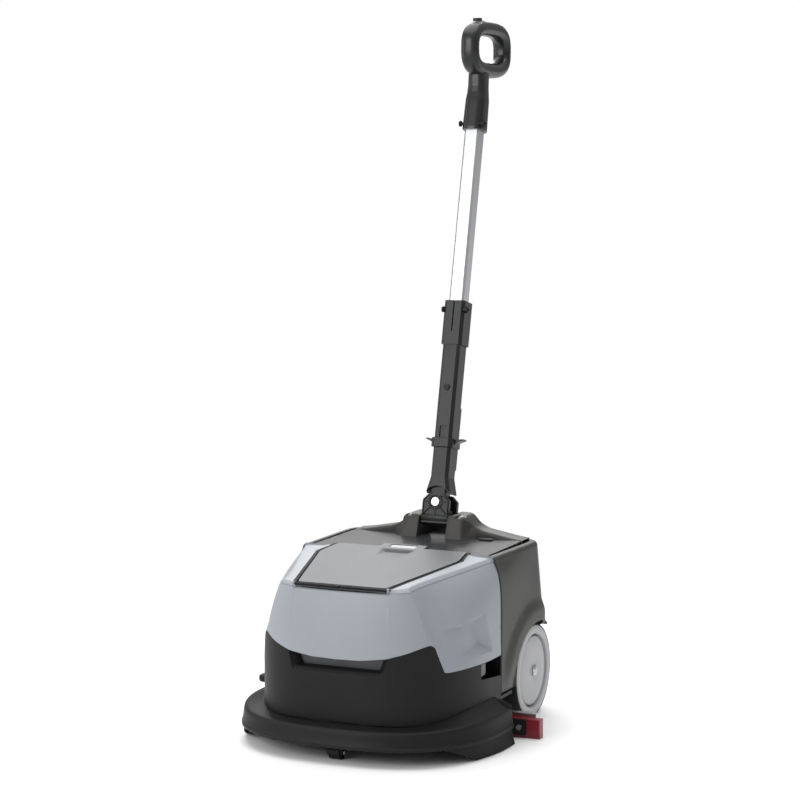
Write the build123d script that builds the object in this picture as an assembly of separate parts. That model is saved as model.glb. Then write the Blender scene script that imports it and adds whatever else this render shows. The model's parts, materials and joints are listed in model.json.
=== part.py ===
from build123d import *
import math
import os

# Millimetres. +X is the machine's right, -Y its front, +Z up. Shapes are drawn with the wheel axle at Y = 0
# and are all moved along Y at the end, so that the origin is under the middle of the whole machine.

# Overall sizes
deck_front_y = -411.0
grip_rear_y = 298.5
frame_shift_y = -(deck_front_y + grip_rear_y) / 2

# Brush deck
strip_proud = 1.2
deck_half_width = 212.8
deck_half_length = 209.8
deck_centre_y = deck_front_y + strip_proud + deck_half_length
deck_rear_y = -176.0
deck_powers = (2.6, 2.6)
deck_rim_z = 26.0
deck_edge_z = 57.0
deck_top_z = 66.0

# Lower body shell and tank shell
body_half_width = 181.5
body_half_length = 186.0
body_centre_y = -190.0
body_rear_y = -128.0
body_powers = (3.4, 2.2)
wall = 3.0
tank_floor_z = 166.0
top_front_y = -359.0
top_front_z = 265.0
top_rear_y = -130.0
top_rear_z = 290.0

# Lid on the sloping top: hinge and latch places along the slope, and how far below the top they lie
hinge_along = 5.0
hinge_height = -2.6
hinge_pin_radius = 1.3
hinge_room = 3.4
latch_along = 226.5
latch_height = -1.5
latch_pin_radius = 1.5
latch_front = 224.5
latch_rear = 241.5
latch_half_width = 22.5

# Rear housing
housing_front_y = -126.5
housing_top_z = 286.0
tower_top_z = 327.0
cover_top_z = 290.5
cover_thickness = 4.0

# Wheels
wheel_radius = 77.6
wheel_inner_x = 143.0
wheel_outer_x = 179.0
rim_radius = 71.4
axle_radius = 6.0
arch_radius = 84.0

# Brushes and their gear train
brush_x = 96.0
brush_y = -292.0
brush_radius = 88.0
bristle_low_z = 27.0
brush_plate_z = 46.0
idler_x = 30.0
gear_module = 2.0
brush_gear_teeth = 36
idler_teeth = 30
pinion_teeth = 12
pinion_y = brush_y + gear_module * (idler_teeth + pinion_teeth) / 2
gear_z = 72.0
gear_height = 8.0
running_clearance = 0.05

# Front roller under the deck
roller_y = -373.0
roller_z = 12.0
roller_radius = 11.9
roller_pin_radius = 3.0

# Squeegee
squeegee_half_length = 240.0
squeegee_y = -129.0
guide_radius = 5.0
guide_x = 68.0
guide_y = -115.0
lever_y = -152.0
lever_z = 76.0

# Handle: the mast stands on the swing pin and leans back at rest
lean = 13.0
swing_pin_y = 22.0
swing_pin_z = 342.0
shaft_t = -8.0
shaft_s = -26.5
tube_half = 13.5
tube_bottom_s = 280.0
tube_top_s = 700.0
collar_bottom_s = 266.0
mast_top_s = 340.5
grip_bottom_s = 636.0
ring_centre = (216.5, 1101.5)
ring_half = (82.0, 48.5)
hole_half = (63.0, 22.5)
ring_half_width = 15.5
ring_powers = (3.2, 3.2)
swing_pin_radius = 4.5
clamp_bolt_t = -16.4
clamp_bolt_radius = 2.5
collar_bolt_s = 325.0
grip_bolt_s = 645.0
shell_screw_s = 193.0

lean_rad = math.radians(lean)
lean_sin = math.sin(lean_rad)
lean_cos = math.cos(lean_rad)
mast_place = Plane(origin=(0, swing_pin_y, swing_pin_z), x_dir=(1, 0, 0), z_dir=(0, lean_sin, lean_cos)).location


def box(x0, x1, y0, y1, z0, z1):
    """A box from its lowest to its highest corner."""
    middle = Pos((x0 + x1) / 2, (y0 + y1) / 2, (z0 + z1) / 2)
    return middle * Box(x1 - x0, y1 - y0, z1 - z0)


def rod_x(radius, x0, x1, y, z):
    """A round bar along X."""
    return Pos((x0 + x1) / 2, y, z) * Rot(0, 90, 0) * Cylinder(radius, x1 - x0)


def rod_z(radius, x, y, z0, z1):
    """A round bar along Z."""
    return Pos(x, y, (z0 + z1) / 2) * Cylinder(radius, z1 - z0)


def rod_t(radius, t0, t1, s):
    """A round bar fore and aft across the mast, in the mast's own frame."""
    return Pos(0, (t0 + t1) / 2, s) * Rot(90, 0, 0) * Cylinder(radius, t1 - t0)


def both_sides(shape):
    """A shape and its mirror image in the machine's middle plane."""
    return shape + mirror(shape, about=Plane.YZ)


def superellipse_points(half_u, half_v, powers, start_deg, end_deg, steps):
    """Points of |u/a|^m + |v/b|^n = 1 between two angles, where m and n are the two powers."""
    points = []
    for k in range(steps + 1):
        angle = math.radians(start_deg + (end_deg - start_deg) * k / steps)
        u = half_u * math.copysign(abs(math.cos(angle)) ** (2 / powers[0]), math.cos(angle))
        v = half_v * math.copysign(abs(math.sin(angle)) ** (2 / powers[1]), math.sin(angle))
        points.append((u, v))
    return points


def plan_face(half_width, half_length, powers, centre_y, rear_y, z):
    """Plan of the body: a superellipse nose, then straight sides back to a straight rear edge."""
    nose = [(u, centre_y + v) for u, v in superellipse_points(half_width, half_length, powers, 0, -180, 24)]
    front = Spline(*nose, tangents=[(0, -1), (0, 1)])
    sides = Polyline(nose[-1], (-half_width, rear_y), (half_width, rear_y), nose[0])
    return Pos(0, 0, z) * make_face(front + sides)


def body_face(inset, z, rear_y=body_rear_y):
    """Plan of the lower body, drawn in by an inset."""
    return plan_face(body_half_width - inset, body_half_length - inset, body_powers, body_centre_y, rear_y, z)


def deck_face(inset, z, rear_inset=None):
    """Plan of the brush deck, drawn in by an inset."""
    back = inset if rear_inset is None else rear_inset
    return plan_face(deck_half_width - inset, deck_half_length - inset, deck_powers, deck_centre_y,
                     deck_rear_y - back, z)


def rise(face, height):
    """A face pushed straight up."""
    return extrude(face, amount=height, dir=(0, 0, 1))


def brush_deck():
    lower = loft([deck_face(0, deck_rim_z), deck_face(4.5, deck_edge_z, 1.5)], ruled=True)
    ledge = loft([deck_face(4.5, deck_edge_z, 1.5), body_ledge_face(deck_top_z)], ruled=True)
    inside = loft([deck_face(4, deck_rim_z - 1), deck_face(8.5, deck_edge_z - 1)], ruled=True)
    seat = rise(body_face(4, deck_top_z - 6, deck_rear_y + 10), 7)
    deck = lower + ledge - inside - seat
    for side in (-1, 1):
        deck -= rod_z(12, side * brush_x, brush_y, deck_rim_z, deck_top_z)
    deck -= box(-14, 14, -392, -352, deck_edge_z - 2, deck_top_z)
    return deck


def body_ledge_face(z):
    """The deck's top outline, just outside the body shell."""
    return plan_face(body_half_width + 2.5, body_half_length + 2.5, body_powers, body_centre_y, deck_rear_y - 2, z)


def deck_edge_strip():
    """A rubber rubbing strip round the deck's nose, 1.5 mm proud."""
    outer = loft([deck_face(-strip_proud, 27, 12), deck_face(-strip_proud / 2, 32, 12)], ruled=True)
    inner = loft([deck_face(0.05, 27, -20), deck_face(0.78, 32, -20)], ruled=True)
    return outer - inner


def splash_skirt():
    """Rubber fin at the right rear corner of the deck, standing just clear of the floor."""
    outer = rise(deck_face(1, 1.0, 2), deck_rim_z - 1.0)
    inner = rise(deck_face(7, 0.0, -20), deck_rim_z)
    side = box(150, 215, -345, deck_rear_y, 0, deck_rim_z)
    wedge = Polyline((-296, 0.5), (-350, 0.5), (-350, 22), (-341, 22), close=True)
    nose_cut = extrude(Plane.YZ * make_face(wedge), amount=230)
    return (outer - inner) & side - nose_cut


def seam_cutter(lift):
    """The space above the seam between the lower body and the tank, raised by a lift."""
    half = [(0, 156), (100, 161), (121, 169), (140, 179), (150, 180), (161, 139), (182, 130), (260, 129)]
    right = [(x, z + lift) for x, z in half]
    left = [(-x, z) for x, z in reversed(right[1:])]
    outline = Polyline(*left, *right, (260, 400), (-260, 400), close=True)
    return Pos(0, -440, 0) * extrude(Plane.XZ * make_face(outline), amount=-400)


def lower_shell():
    shell = rise(body_face(0, deck_top_z), 130) - rise(body_face(wall, deck_top_z - 1, body_rear_y + 9), 140)
    shell -= seam_cutter(0)
    notch = Polyline((-76, 131), (76, 131), (86, 170), (-86, 170), close=True)
    shell -= Pos(0, -380, 0) * extrude(Plane.XZ * make_face(notch), amount=-40)
    shell += hand_recess()
    window = box(150, 190, -208, body_rear_y + 5, 97, 127)
    return shell - both_sides(window) - rod_x(4 + running_clearance, -190, -170, lever_y, lever_z)


def hand_recess():
    """Pocket behind the front notch, where the fingers go to lift the tank."""
    outer = body_face(wall - 0.5, 128, -300)
    block = rise(outer, 27.5) & box(-89, 89, -380, -346, 128, 160)
    pocket = box(-86, 86, -390, -349, 131, 170)
    return block - pocket


def tank_section(inset_x, inset_y, z):
    return plan_face(body_half_width - inset_x, body_half_length - inset_y, body_powers, body_centre_y,
                     body_rear_y - 3.5, z)


def tank_envelope(extra):
    """The tank's outside, leaning in towards the top, thinned by an extra inset."""
    lower = loft([tank_section(extra, extra, 120), tank_section(extra, extra, 180)], ruled=True)
    middle = loft([tank_section(extra, extra, 180), tank_section(11 + extra, 5 + extra, 236)], ruled=True)
    upper = loft([tank_section(11 + extra, 5 + extra, 236), tank_section(30 + extra, 14 + extra, 296)], ruled=True)
    return lower + middle + upper


def top_plane():
    """The sloping top of the tank; local X is across, local Y runs up the slope to the rear."""
    slope = math.atan2(top_rear_z - top_front_z, top_rear_y - top_front_y)
    return Plane(origin=(0, top_front_y, top_front_z), x_dir=(1, 0, 0),
                 z_dir=(0, -math.sin(slope), math.cos(slope)))


def lid_prism(grow, top, bottom):
    """The lid's outline, grown by a margin, as a prism from below to above the sloping top."""
    face = top_plane() * Pos(0, 0, -bottom) * make_face(Polyline(*lid_corners(grow), close=True))
    return extrude(face, amount=top + bottom)


def lid_corners(grow):
    """Corners of the six-sided lid on the sloping top, grown by a margin at the front and sides."""
    side = [(78 + grow, 5 - grow), (119 + grow, 198), (111 + grow, 227)]
    return side + [(-x, y) for x, y in reversed(side)]


def tank_shell():
    above = top_plane() * Pos(0, 100, 60) * Box(600, 500, 120)
    shell = (tank_envelope(0) & seam_cutter(0.5)) - above
    cavity = (tank_envelope(wall) & box(-200, 200, -400, -135, tank_floor_z, 320)) - (Pos(0, 0, -wall - 4) * above)
    skirt = tank_envelope(wall) & box(-200, 200, -400, 0, 100, tank_floor_z - wall)
    shell = shell - cavity - skirt
    pocket = lid_prism(1.5, 1, 5.5)
    opening = lid_prism(-9, 1, 12) & box(-200, 200, -400, -141, 0, 400)
    groove = rod_on_top(hinge_room, 80, hinge_along, hinge_height)
    groove += rod_on_top(hinge_pin_radius, 84, hinge_along, hinge_height)
    rear_gap = top_plane() * Pos(0, 235, 0) * Box(224, 30, 11)
    shell = shell - pocket - opening - groove - rear_gap
    lugs = both_sides(box(164, 177.6, -206, -186, 100, 150) + box(164, 181, -206, -186, 134, 150))
    return shell + lugs


def rod_on_top(radius, half_length, along, height):
    """A round bar along X, placed on the sloping top."""
    return top_plane() * Pos(0, along, height) * Rot(0, 90, 0) * Cylinder(radius, 2 * half_length)


def lid_seal():
    ring = lid_prism(-2, -4.2, 5.5) - lid_prism(-7, 1, 12)
    return ring & box(-200, 200, -350, -137, 0, 400)


def tank_lid():
    plate = lid_prism(0, 0, 4.0) & top_plane() * Pos(0, 8 + 150, 0) * Box(400, 300, 20)
    tab = top_plane() * Pos(0, 247, -2) * Box(80, 46, 4)
    roll = rod_on_top(2.6, 76, hinge_along, hinge_height) + top_plane() * Pos(0, 7, -2) * Box(152, 4, 3.2)
    lid = plate + tab + roll - rod_on_top(hinge_pin_radius + running_clearance, 80, hinge_along, hinge_height)
    dish = Polyline((-33, 204), (33, 204), (20, 158), (-20, 158), close=True)
    lid -= extrude(top_plane() * Pos(0, 0, -2) * make_face(dish), amount=5)
    slot = Box(2 * latch_half_width, latch_rear - latch_front, 30)
    return lid - top_plane() * Pos(0, (latch_front + latch_rear) / 2, 0) * slot


def lid_hinge_pin():
    return rod_on_top(hinge_pin_radius, 84, hinge_along, hinge_height)


def lid_latch():
    """Finger paddle that turns up about a round front edge."""
    length = latch_rear - 0.5 - latch_along
    paddle = Box(2 * latch_half_width - 1, length, 2 * latch_pin_radius)
    pin = rod_on_top(latch_pin_radius, latch_half_width - 0.5, latch_along, latch_height)
    return pin + top_plane() * Pos(0, latch_along + length / 2, latch_height) * paddle


def housing_face(half_width, rear_y, corner, inset, z):
    """Plan of the rear housing with two rounded rear corners."""
    half = half_width - inset
    rear = rear_y - inset
    front = housing_front_y + inset
    outline = make_face(Polyline((half, front), (half, rear), (-half, rear), (-half, front), close=True))
    corners = outline.vertices().group_by(Axis.Y)[-1]
    return Pos(0, 0, z) * fillet(corners, corner - inset)


def housing_envelope(inset, low, high):
    bottom = loft([housing_face(182, 62, 40, inset, low), housing_face(181, 60, 40, inset, 180)], ruled=True)
    top = loft([housing_face(181, 60, 40, inset, 180), housing_face(157, 47, 36, inset, high)], ruled=True)
    return bottom + top


def ridge_profile():
    """Half of the rear ridge: level at the side, then an S rise to a tower's flat top."""
    rise_points = [(150 - 94 * k / 10, 290 + 36 * (k / 10) ** 2 * (3 - 2 * k / 10)) for k in range(11)]
    flank = Spline(*rise_points, tangents=[(-1, 0), (-1, 0)])
    rest = Polyline(rise_points[-1], (30, tower_top_z - 1), (26, tower_top_z - 4), (26, 280), (150, 280), rise_points[0])
    return make_face(flank + rest)


def rear_housing():
    shell = housing_envelope(0, 67, housing_top_z) - housing_envelope(wall, 60, housing_top_z + 1)
    well = both_sides(rod_x(arch_radius + wall, 135, 184, 0, wheel_radius))
    flare = both_sides(rod_x(arch_radius + 7, 176, 185, 0, wheel_radius))
    above_pan = box(-200, 200, housing_front_y, 70, 67, 200)
    shell += (well + flare) & above_pan
    shell -= both_sides(rod_x(arch_radius, 138, 200, 0, wheel_radius))
    ridge = Pos(0, 8, 0) * extrude(Plane.XZ * ridge_profile(), amount=-37)
    tower = Pos(0, -9, 0) * extrude(Plane.XZ * tower_profile(), amount=-20)
    shell += both_sides(ridge + tower)
    shell += box(-70, 70, -9, 47, 280, 287)
    shell -= both_sides(box(40, 49, -12, -2, 317, 330))
    shaft_y, shaft_z = shaft_point()
    shell -= rod_x(axle_radius + running_clearance, -54, 54, shaft_y, shaft_z)
    shell -= both_sides(rod_x(axle_radius + 1, 130, 140, 0, wheel_radius))
    shell -= box(-48, 48, housing_front_y - 1, -80, 276, 300)
    return shell - box(-112, 112, housing_front_y - 1, housing_front_y + 4, 284, 300)


def tower_profile():
    """Half outline of the tower that carries the yoke shaft."""
    return make_face(Polyline((26, 280), (26, 323), (30, 326), (52, 326), (57, 318), (72, 291), (72, 280), close=True))


def shaft_point():
    """Where the yoke's cross shaft lies in the machine's frame."""
    y = swing_pin_y + shaft_t * lean_cos + shaft_s * lean_sin
    z = swing_pin_z - shaft_t * lean_sin + shaft_s * lean_cos
    return y, z


def rear_cover():
    side = [(119, -130), (120, -121), (163, -121), (160, -34), (140, -8), (95, 6), (73, 7.5), (73, -9.5)]
    left = [(-x, y) for x, y in reversed(side)]
    plate = Pos(0, 0, cover_top_z - cover_thickness) * make_face(Polyline(*side, *left, close=True))
    cover = rise(plate, cover_thickness)
    cover -= box(-43, 43, -135, -83, 280, 300)
    cover -= rod_z(8, 100, -8, 280, 300) + rod_z(8, 90, -8, 280, 300) + box(90, 100, -16, 0, 280, 300)
    for x, y in screw_places():
        cover -= rod_z(2.2, x, y, 280, 300)
    return cover


def screw_places():
    """Centres of the cover screws."""
    return [(side * x, y) for side in (-1, 1) for x, y in ((150, -108), (148, -45))]


def housing_screws():
    screws = Part()
    for x, y in screw_places():
        screws += rod_z(2.0, x, y, 276, 291) + rod_z(3.8, x, y, cover_top_z, cover_top_z + 1.5)
    return screws


def charge_cap():
    face = Pos(95, -8, cover_top_z) * SlotOverall(24, 14)
    plug = Pos(95, -8, cover_top_z - 5) * SlotOverall(24.6, 14.6)
    return extrude(plug, amount=5) + extrude(face, amount=1.6)


def base_plate():
    front = rise(body_face(5, 60, -95), 5.5)
    rear = box(-133, 133, -95, 56, 60, 65.5)
    plate = front + rear
    for side in (-1, 1):
        plate += box(min(side * 108, side * 126), max(side * 108, side * 126), -16, 16, 65, 92)
        plate -= rod_z(axle_radius + running_clearance, side * brush_x, brush_y, 50, 70)
        plate -= rod_z(5 + running_clearance, side * idler_x, brush_y, 50, 70)
        plate -= rod_z(guide_radius + running_clearance, side * guide_x, guide_y, 50, 70)
    plate -= box(-14, 14, -400, -340, 55, 70)
    return plate - rod_x(axle_radius, -130, 130, 0, wheel_radius)


def gear_case():
    def body(inset, z0, z1):
        half = 41 - inset
        outline = box(-brush_x, brush_x, brush_y - half, brush_y + half, z0, z1)
        outline += both_sides(rod_z(half, brush_x, brush_y, z0, z1))
        return outline + rod_z(24 - inset, idler_x, pinion_y, z0, z1)
    case = body(0, 65.5, 86) - body(2.5, 60, 83)
    for side in (-1, 1):
        case -= rod_z(axle_radius + running_clearance, side * brush_x, brush_y, 60, 90)
        case -= rod_z(5 + running_clearance, side * idler_x, brush_y, 60, 90)
    return case - rod_z(4.5, idler_x, pinion_y, 60, 90)


def gear(teeth, first_tooth_deg, x, y):
    """Spur gear with straight-sided teeth between its root and tip circles."""
    pitch_radius = gear_module * teeth / 2
    root = pitch_radius - 1.1 * gear_module
    tip = pitch_radius + 0.75 * gear_module
    points = []
    for k in range(teeth):
        for radius, offset in ((root, -0.30), (tip, -0.12), (tip, 0.12), (root, 0.30)):
            angle = math.radians(first_tooth_deg + (k + offset) * 360 / teeth)
            points.append((radius * math.cos(angle), radius * math.sin(angle)))
    face = Pos(x, y, gear_z) * make_face(Polyline(*points, close=True))
    return rise(face, gear_height)


def brush_gear(side):
    phase = 0 if side < 0 else 180 / brush_gear_teeth
    return gear(brush_gear_teeth, phase, side * brush_x, brush_y) + rod_z(axle_radius, side * brush_x, brush_y, 24, 92)


def idler_gear(side):
    phase = 180 / idler_teeth if side < 0 else 0
    return gear(idler_teeth, phase, side * idler_x, brush_y) + rod_z(5, side * idler_x, brush_y, 61, 90)


def motor_pinion():
    return gear(pinion_teeth, 0, idler_x, pinion_y) + rod_z(4, idler_x, pinion_y, 70, 112)


def brush_plate(side):
    """Brush block with a sleeve that slides on the spindle."""
    plate = rod_z(brush_radius - 2, side * brush_x, brush_y, brush_plate_z, brush_plate_z + 8)
    plate += rod_z(11, side * brush_x, brush_y, brush_plate_z, brush_plate_z + 13)
    return plate - rod_z(axle_radius + running_clearance, side * brush_x, brush_y, 40, 70)


def bristles(side):
    """The ring of bristles under a brush plate, raised inside the deck for transport."""
    ring = rod_z(brush_radius, side * brush_x, brush_y, bristle_low_z, brush_plate_z)
    return ring - rod_z(36, side * brush_x, brush_y, bristle_low_z - 1, brush_plate_z + 1)


def drive_motor():
    can = rod_z(31, idler_x, pinion_y, 88, 160) + rod_z(10, idler_x, pinion_y, 160, 163)
    return can + rod_z(18, idler_x, pinion_y, 86, 89) - rod_z(4 + running_clearance, idler_x, pinion_y, 80, 114)


def suction_motor():
    can = rod_z(44, -84, -205, 94, 122) + rod_z(32, -84, -205, 122, 156)
    return can - rod_z(14, -84, -205, 148, 160) + box(-94, -74, -215, -195, 65.5, 95)


def solution_tank():
    return rise(body_face(7, 94), 32) & box(-170, 170, -400, -290, 80, 140)


def solution_pump():
    return box(95, 135, -240, -196, 65.5, 112) + rod_z(13, 115, -218, 112, 130)


def battery_pack():
    return fillet(box(-108, 108, -108, 30, 96, 196).edges().filter_by(Axis.Z), 6)


def control_board():
    board = box(-92, 92, -104, -6, 200, 202)
    for k in range(4):
        board += rod_z(6, -66 + 30 * k, -60, 202, 222)
    board += box(40, 80, -90, -40, 202, 216)
    return board + box(-80, 80, -108, -100, 196, 202)


def wheel_axle():
    return rod_x(axle_radius, -180, 180, 0, wheel_radius)


def tyre():
    width = wheel_outer_x - wheel_inner_x
    ring = Cylinder(wheel_radius, width) - Cylinder(rim_radius, width + 2)
    outer_edges = ring.edges().filter_by(GeomType.CIRCLE).sort_by(SortBy.RADIUS)[-2:]
    ring = fillet(outer_edges, 4)
    middle = (wheel_inner_x + wheel_outer_x) / 2
    return Pos(middle, 0, wheel_radius) * Rot(0, 90, 0) * ring


def rim():
    """Moulded wheel: a raised outer ring, a groove, a flat disc and a hub boss."""
    body = rod_x(rim_radius, wheel_inner_x + 4, wheel_outer_x - 1, 0, wheel_radius)
    groove = rod_x(60.5, 170, 200, 0, wheel_radius) - rod_x(57.2, 160, 200, 0, wheel_radius)
    dish = rod_x(57.2, wheel_outer_x - 3, 200, 0, wheel_radius) - rod_x(16, 150, 200, 0, wheel_radius)
    back = rod_x(62, wheel_inner_x, 164, 0, wheel_radius) - rod_x(18, 140, 170, 0, wheel_radius)
    bore = rod_x(axle_radius + running_clearance, 140, 190, 0, wheel_radius)
    return body - groove - dish - back - bore


def hub_cap():
    """Push-on star nut cap over the axle's end."""
    cap = rod_x(9, wheel_outer_x - 1, wheel_outer_x + 3.5, 0, wheel_radius)
    return cap - rod_x(axle_radius + 0.3, wheel_outer_x - 2, wheel_outer_x + 1.6, 0, wheel_radius)


def roller_bracket():
    bracket = box(-13, 13, -388, -354, 50, 57)
    for side in (-1, 1):
        bracket += box(min(side * 9.5, side * 13), max(side * 9.5, side * 13), -382, -364, 8, 52)
    return bracket - rod_x(roller_pin_radius, -15, 15, roller_y, roller_z)


def roller_pin():
    shank = rod_x(roller_pin_radius, -15, 15, roller_y, roller_z)
    return shank + rod_x(5, 13, 15.5, roller_y, roller_z)


def front_roller():
    bore = rod_x(roller_pin_radius + running_clearance, -10, 10, roller_y, roller_z)
    return rod_x(roller_radius, -9, 9, roller_y, roller_z) - bore


def squeegee_holder():
    bar = box(-228, 228, squeegee_y + 8.5, squeegee_y + 20, 13, 36)
    return bar + both_sides(rod_z(guide_radius, guide_x, guide_y, 30, 80))


def squeegee_blade_front():
    return box(-squeegee_half_length, squeegee_half_length, squeegee_y - 7, squeegee_y + 8.5, 0.2, 31)


def squeegee_blade_rear():
    return box(-224, 224, squeegee_y + 20, squeegee_y + 24, 0.2, 27)


def blade_clamps():
    clamp = box(176, 217, squeegee_y - 11, squeegee_y - 7, 5, 30)
    return both_sides(clamp - clamp_hole())


def clamp_hole():
    return Pos(207, squeegee_y - 9, 18) * Rot(90, 0, 0) * Cylinder(2.5, 10)


def clamp_screws():
    shank = Pos(207, squeegee_y - 10, 18) * Rot(90, 0, 0) * Cylinder(2.5, 6)
    head = Pos(207, squeegee_y - 12.5, 18) * Rot(90, 0, 0) * Cylinder(4.5, 3)
    return both_sides(shank + head)


def squeegee_lever():
    """Lift lever at the left side: a flat arm that ends in a finger loop."""
    arm = rod_x(8, -191, -184.5, lever_y, lever_z) + box(-191, -185.5, -200, lever_y, lever_z - 6, lever_z + 4)
    pivot = rod_x(4, -186, -175, lever_y, lever_z)
    loop = Pos(-203, -209, lever_z - 2.7) * (Box(30, 28, 11.5) - Box(16, 14, 14))
    return arm + pivot + loop


def yoke():
    """Cross-shaft barrel with a front and a rear ear for the swing pin."""
    ear = make_face(Polyline((-24, -34), (24, -34), (24, 3), (14, 13), (-14, 13), (-24, 3), close=True))
    front_ear = Pos(0, -20, 0) * extrude(Plane.XZ * ear, amount=-8)
    rear_ear = Pos(0, 15, 0) * extrude(Plane.XZ * ear, amount=-8)
    web = box(-24, 24, -20, 23, -36, -18)
    sweep_room = Pos(0, shaft_t, shaft_s) * Rot(0, 90, 0) * Cylinder(31, 60)
    barrel = Pos(0, shaft_t, shaft_s) * Rot(0, 90, 0) * Cylinder(13.5, 48)
    upper = box(-30, 30, -30, 30, shaft_s, 20)
    solid = ((front_ear + rear_ear + web) & (upper + sweep_room)) + barrel
    lower_cut = box(-30, 30, shaft_t + 16, 40, -60, shaft_s + 6)
    solid -= lower_cut + box(-30, 30, -40, shaft_t - 12.5, -60, shaft_s - 12)
    solid -= Pos(0, shaft_t, shaft_s) * Rot(0, 90, 0) * Cylinder(axle_radius, 60)
    return mast_place * (solid - rod_t(swing_pin_radius, -30, 30, 0))


def yoke_shaft():
    y, z = shaft_point()
    return rod_x(axle_radius, -52, 52, y, z)


def swing_pin():
    return mast_place * (rod_t(swing_pin_radius, -21, 24, 0) + rod_t(7, -23, -20, 0) + rod_t(7, 23, 25, 0))


def octagon(half_x, half_t, chamfer):
    half = [(half_x, -half_t + chamfer), (half_x, half_t - chamfer), (half_x - chamfer, half_t),
            (-half_x + chamfer, half_t), (-half_x, half_t - chamfer), (-half_x, -half_t + chamfer),
            (-half_x + chamfer, -half_t), (half_x - chamfer, -half_t)]
    return make_face(Polyline(*half, close=True))


def mast_solid():
    """The whole lower mast before it is split: tongue, flare, octagonal column and collar."""
    tongue = box(-10.4, 10.4, -11.5, 14.5, 0, 34) + rod_t(10.4, -11.5, 14.5, 0)
    flare = loft([Pos(0, 0, 14) * octagon(22, 20, 5), Pos(0, 0, 42) * octagon(15.8, 18, 5)], ruled=True)
    flare -= rod_t(27, -40, -11.5, 0) + rod_t(27, 14.5, 40, 0) + rod_t(24.5, -40, 40, 0)
    column = rise(Pos(0, 0, 42) * octagon(15.8, 18, 5), collar_bottom_s - 42)
    collar = rise(Pos(0, 0, collar_bottom_s) * octagon(18.6, 20, 5), mast_top_s - collar_bottom_s)
    return tongue + flare + column + collar


def mast_bore():
    return rise(Pos(0, 0, 46) * octagon(tube_half + 0.3, tube_half + 0.3, 3.2), 400)


def clamp_bolt_hole(s):
    return Pos(0, clamp_bolt_t, s) * Rot(0, 90, 0) * Cylinder(clamp_bolt_radius, 60)


def mast_front_shell():
    half = mast_solid() & box(-60, 60, -60, 0, -60, 400)
    half -= mast_bore() + clamp_bolt_hole(collar_bolt_s) + rod_t(swing_pin_radius + running_clearance, -30, 30, 0)
    half -= box(-1.2, 1.2, -30, -10, 288, 345)
    half -= box(-6, 6, -30, -15.5, 106, 128)
    half -= rod_t(3, -30, -14, shell_screw_s)
    return mast_place * half


def mast_rear_shell():
    half = mast_solid() & box(-60, 60, 0, 60, -60, 400)
    outer = Polyline((17, 42), (38, 62), (38, 160), (17, 176), close=True)
    inner = Polyline((17, 56), (29, 67), (29, 154), (17, 164), close=True)
    loop = extrude(Plane.YZ * make_face(outer), amount=8, both=True)
    loop -= extrude(Plane.YZ * make_face(inner), amount=20, both=True)
    half += fillet(loop.edges().filter_by(Axis.Z), 3)
    half -= mast_bore() + rod_t(swing_pin_radius + running_clearance, -30, 30, 0)
    return mast_place * half


def clamp_bolt(s):
    """Bolt across the slit: a round head at the left, a pointed cap nut at the right."""
    shank = Pos(0, clamp_bolt_t, s) * Rot(0, 90, 0) * Cylinder(clamp_bolt_radius, 44)
    head = Pos(-20.1, clamp_bolt_t, s) * Rot(0, 90, 0) * Cylinder(5, 3)
    nut = Pos(21.6, clamp_bolt_t, s) * Rot(0, 90, 0) * extrude(RegularPolygon(5.5, 6), amount=3, both=True)
    tip = Pos(26.1, clamp_bolt_t, s) * Rot(0, 90, 0) * Cone(4, 1.5, 3)
    return shank + head + nut + tip


def collar_bolt():
    return mast_place * clamp_bolt(collar_bolt_s)


def shell_screw():
    return mast_place * (rod_t(3, -18, -14, shell_screw_s) + rod_t(5, -20.5, -18, shell_screw_s))


def release_slider():
    """Sleeve round the mast with an upturned finger wing at each side."""
    sleeve = rise(Pos(0, 0, 92) * octagon(19.5, 22, 6), 16) - rise(Pos(0, 0, 90) * octagon(16.3, 18.5, 5), 20)
    wing_outline = make_face(Polyline((18, 93), (22, 101), (33, 105.5), (34, 108), (19, 106), close=True))
    wing = Pos(0, -9, 0) * extrude(Plane.XZ * wing_outline, amount=-18)
    return mast_place * (sleeve + both_sides(wing))


def mast_tube():
    face = octagon(tube_half, tube_half, 3.5) - octagon(tube_half - 1.6, tube_half - 1.6, 3)
    return mast_place * rise(Pos(0, 0, tube_bottom_s) * face, tube_top_s - tube_bottom_s)


def ring_face(half, steps):
    points = superellipse_points(half[0], half[1], ring_powers, 0, 360, steps)[:-1]
    placed = [(ring_centre[0] + u, ring_centre[1] + v) for u, v in points]
    return Plane.YZ * make_face(Spline(*placed, periodic=True))


def grip_handle():
    ring = extrude(ring_face(ring_half, 40), amount=ring_half_width, both=True)
    ring -= extrude(ring_face(hole_half, 40), amount=40, both=True)
    ring = fillet(ring.edges().filter_by(GeomType.BSPLINE), 7)
    neck = rise(Pos(0, 0, grip_bottom_s) * octagon(18.5, 20, 6), 60)
    throat = loft([Pos(0, 0, grip_bottom_s + 60) * octagon(18.5, 20, 6), Pos(0, 0, 735) * octagon(15, 17, 6)],
                  ruled=True)
    bore = rise(Pos(0, 0, grip_bottom_s - 1) * octagon(tube_half, tube_half, 3.5), tube_top_s - grip_bottom_s + 1)
    stem = neck + throat - bore - clamp_bolt_hole(grip_bolt_s)
    web = Polyline((150, 1068), (207, 1060), (203, 1042), (166, 1051), close=True)
    bridge = extrude(Plane.YZ * make_face(web), amount=13, both=True)
    button_seat = rod_z(8.2, 0, 176, 1144.5, 1160)
    return ring + mast_place * stem + bridge - button_seat


def grip_bolt():
    return mast_place * clamp_bolt(grip_bolt_s)


def start_button():
    return rod_z(7.8, 0, 176, 1147.5, 1152.5)


def left_of(shape):
    return mirror(shape, about=Plane.YZ)


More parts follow.
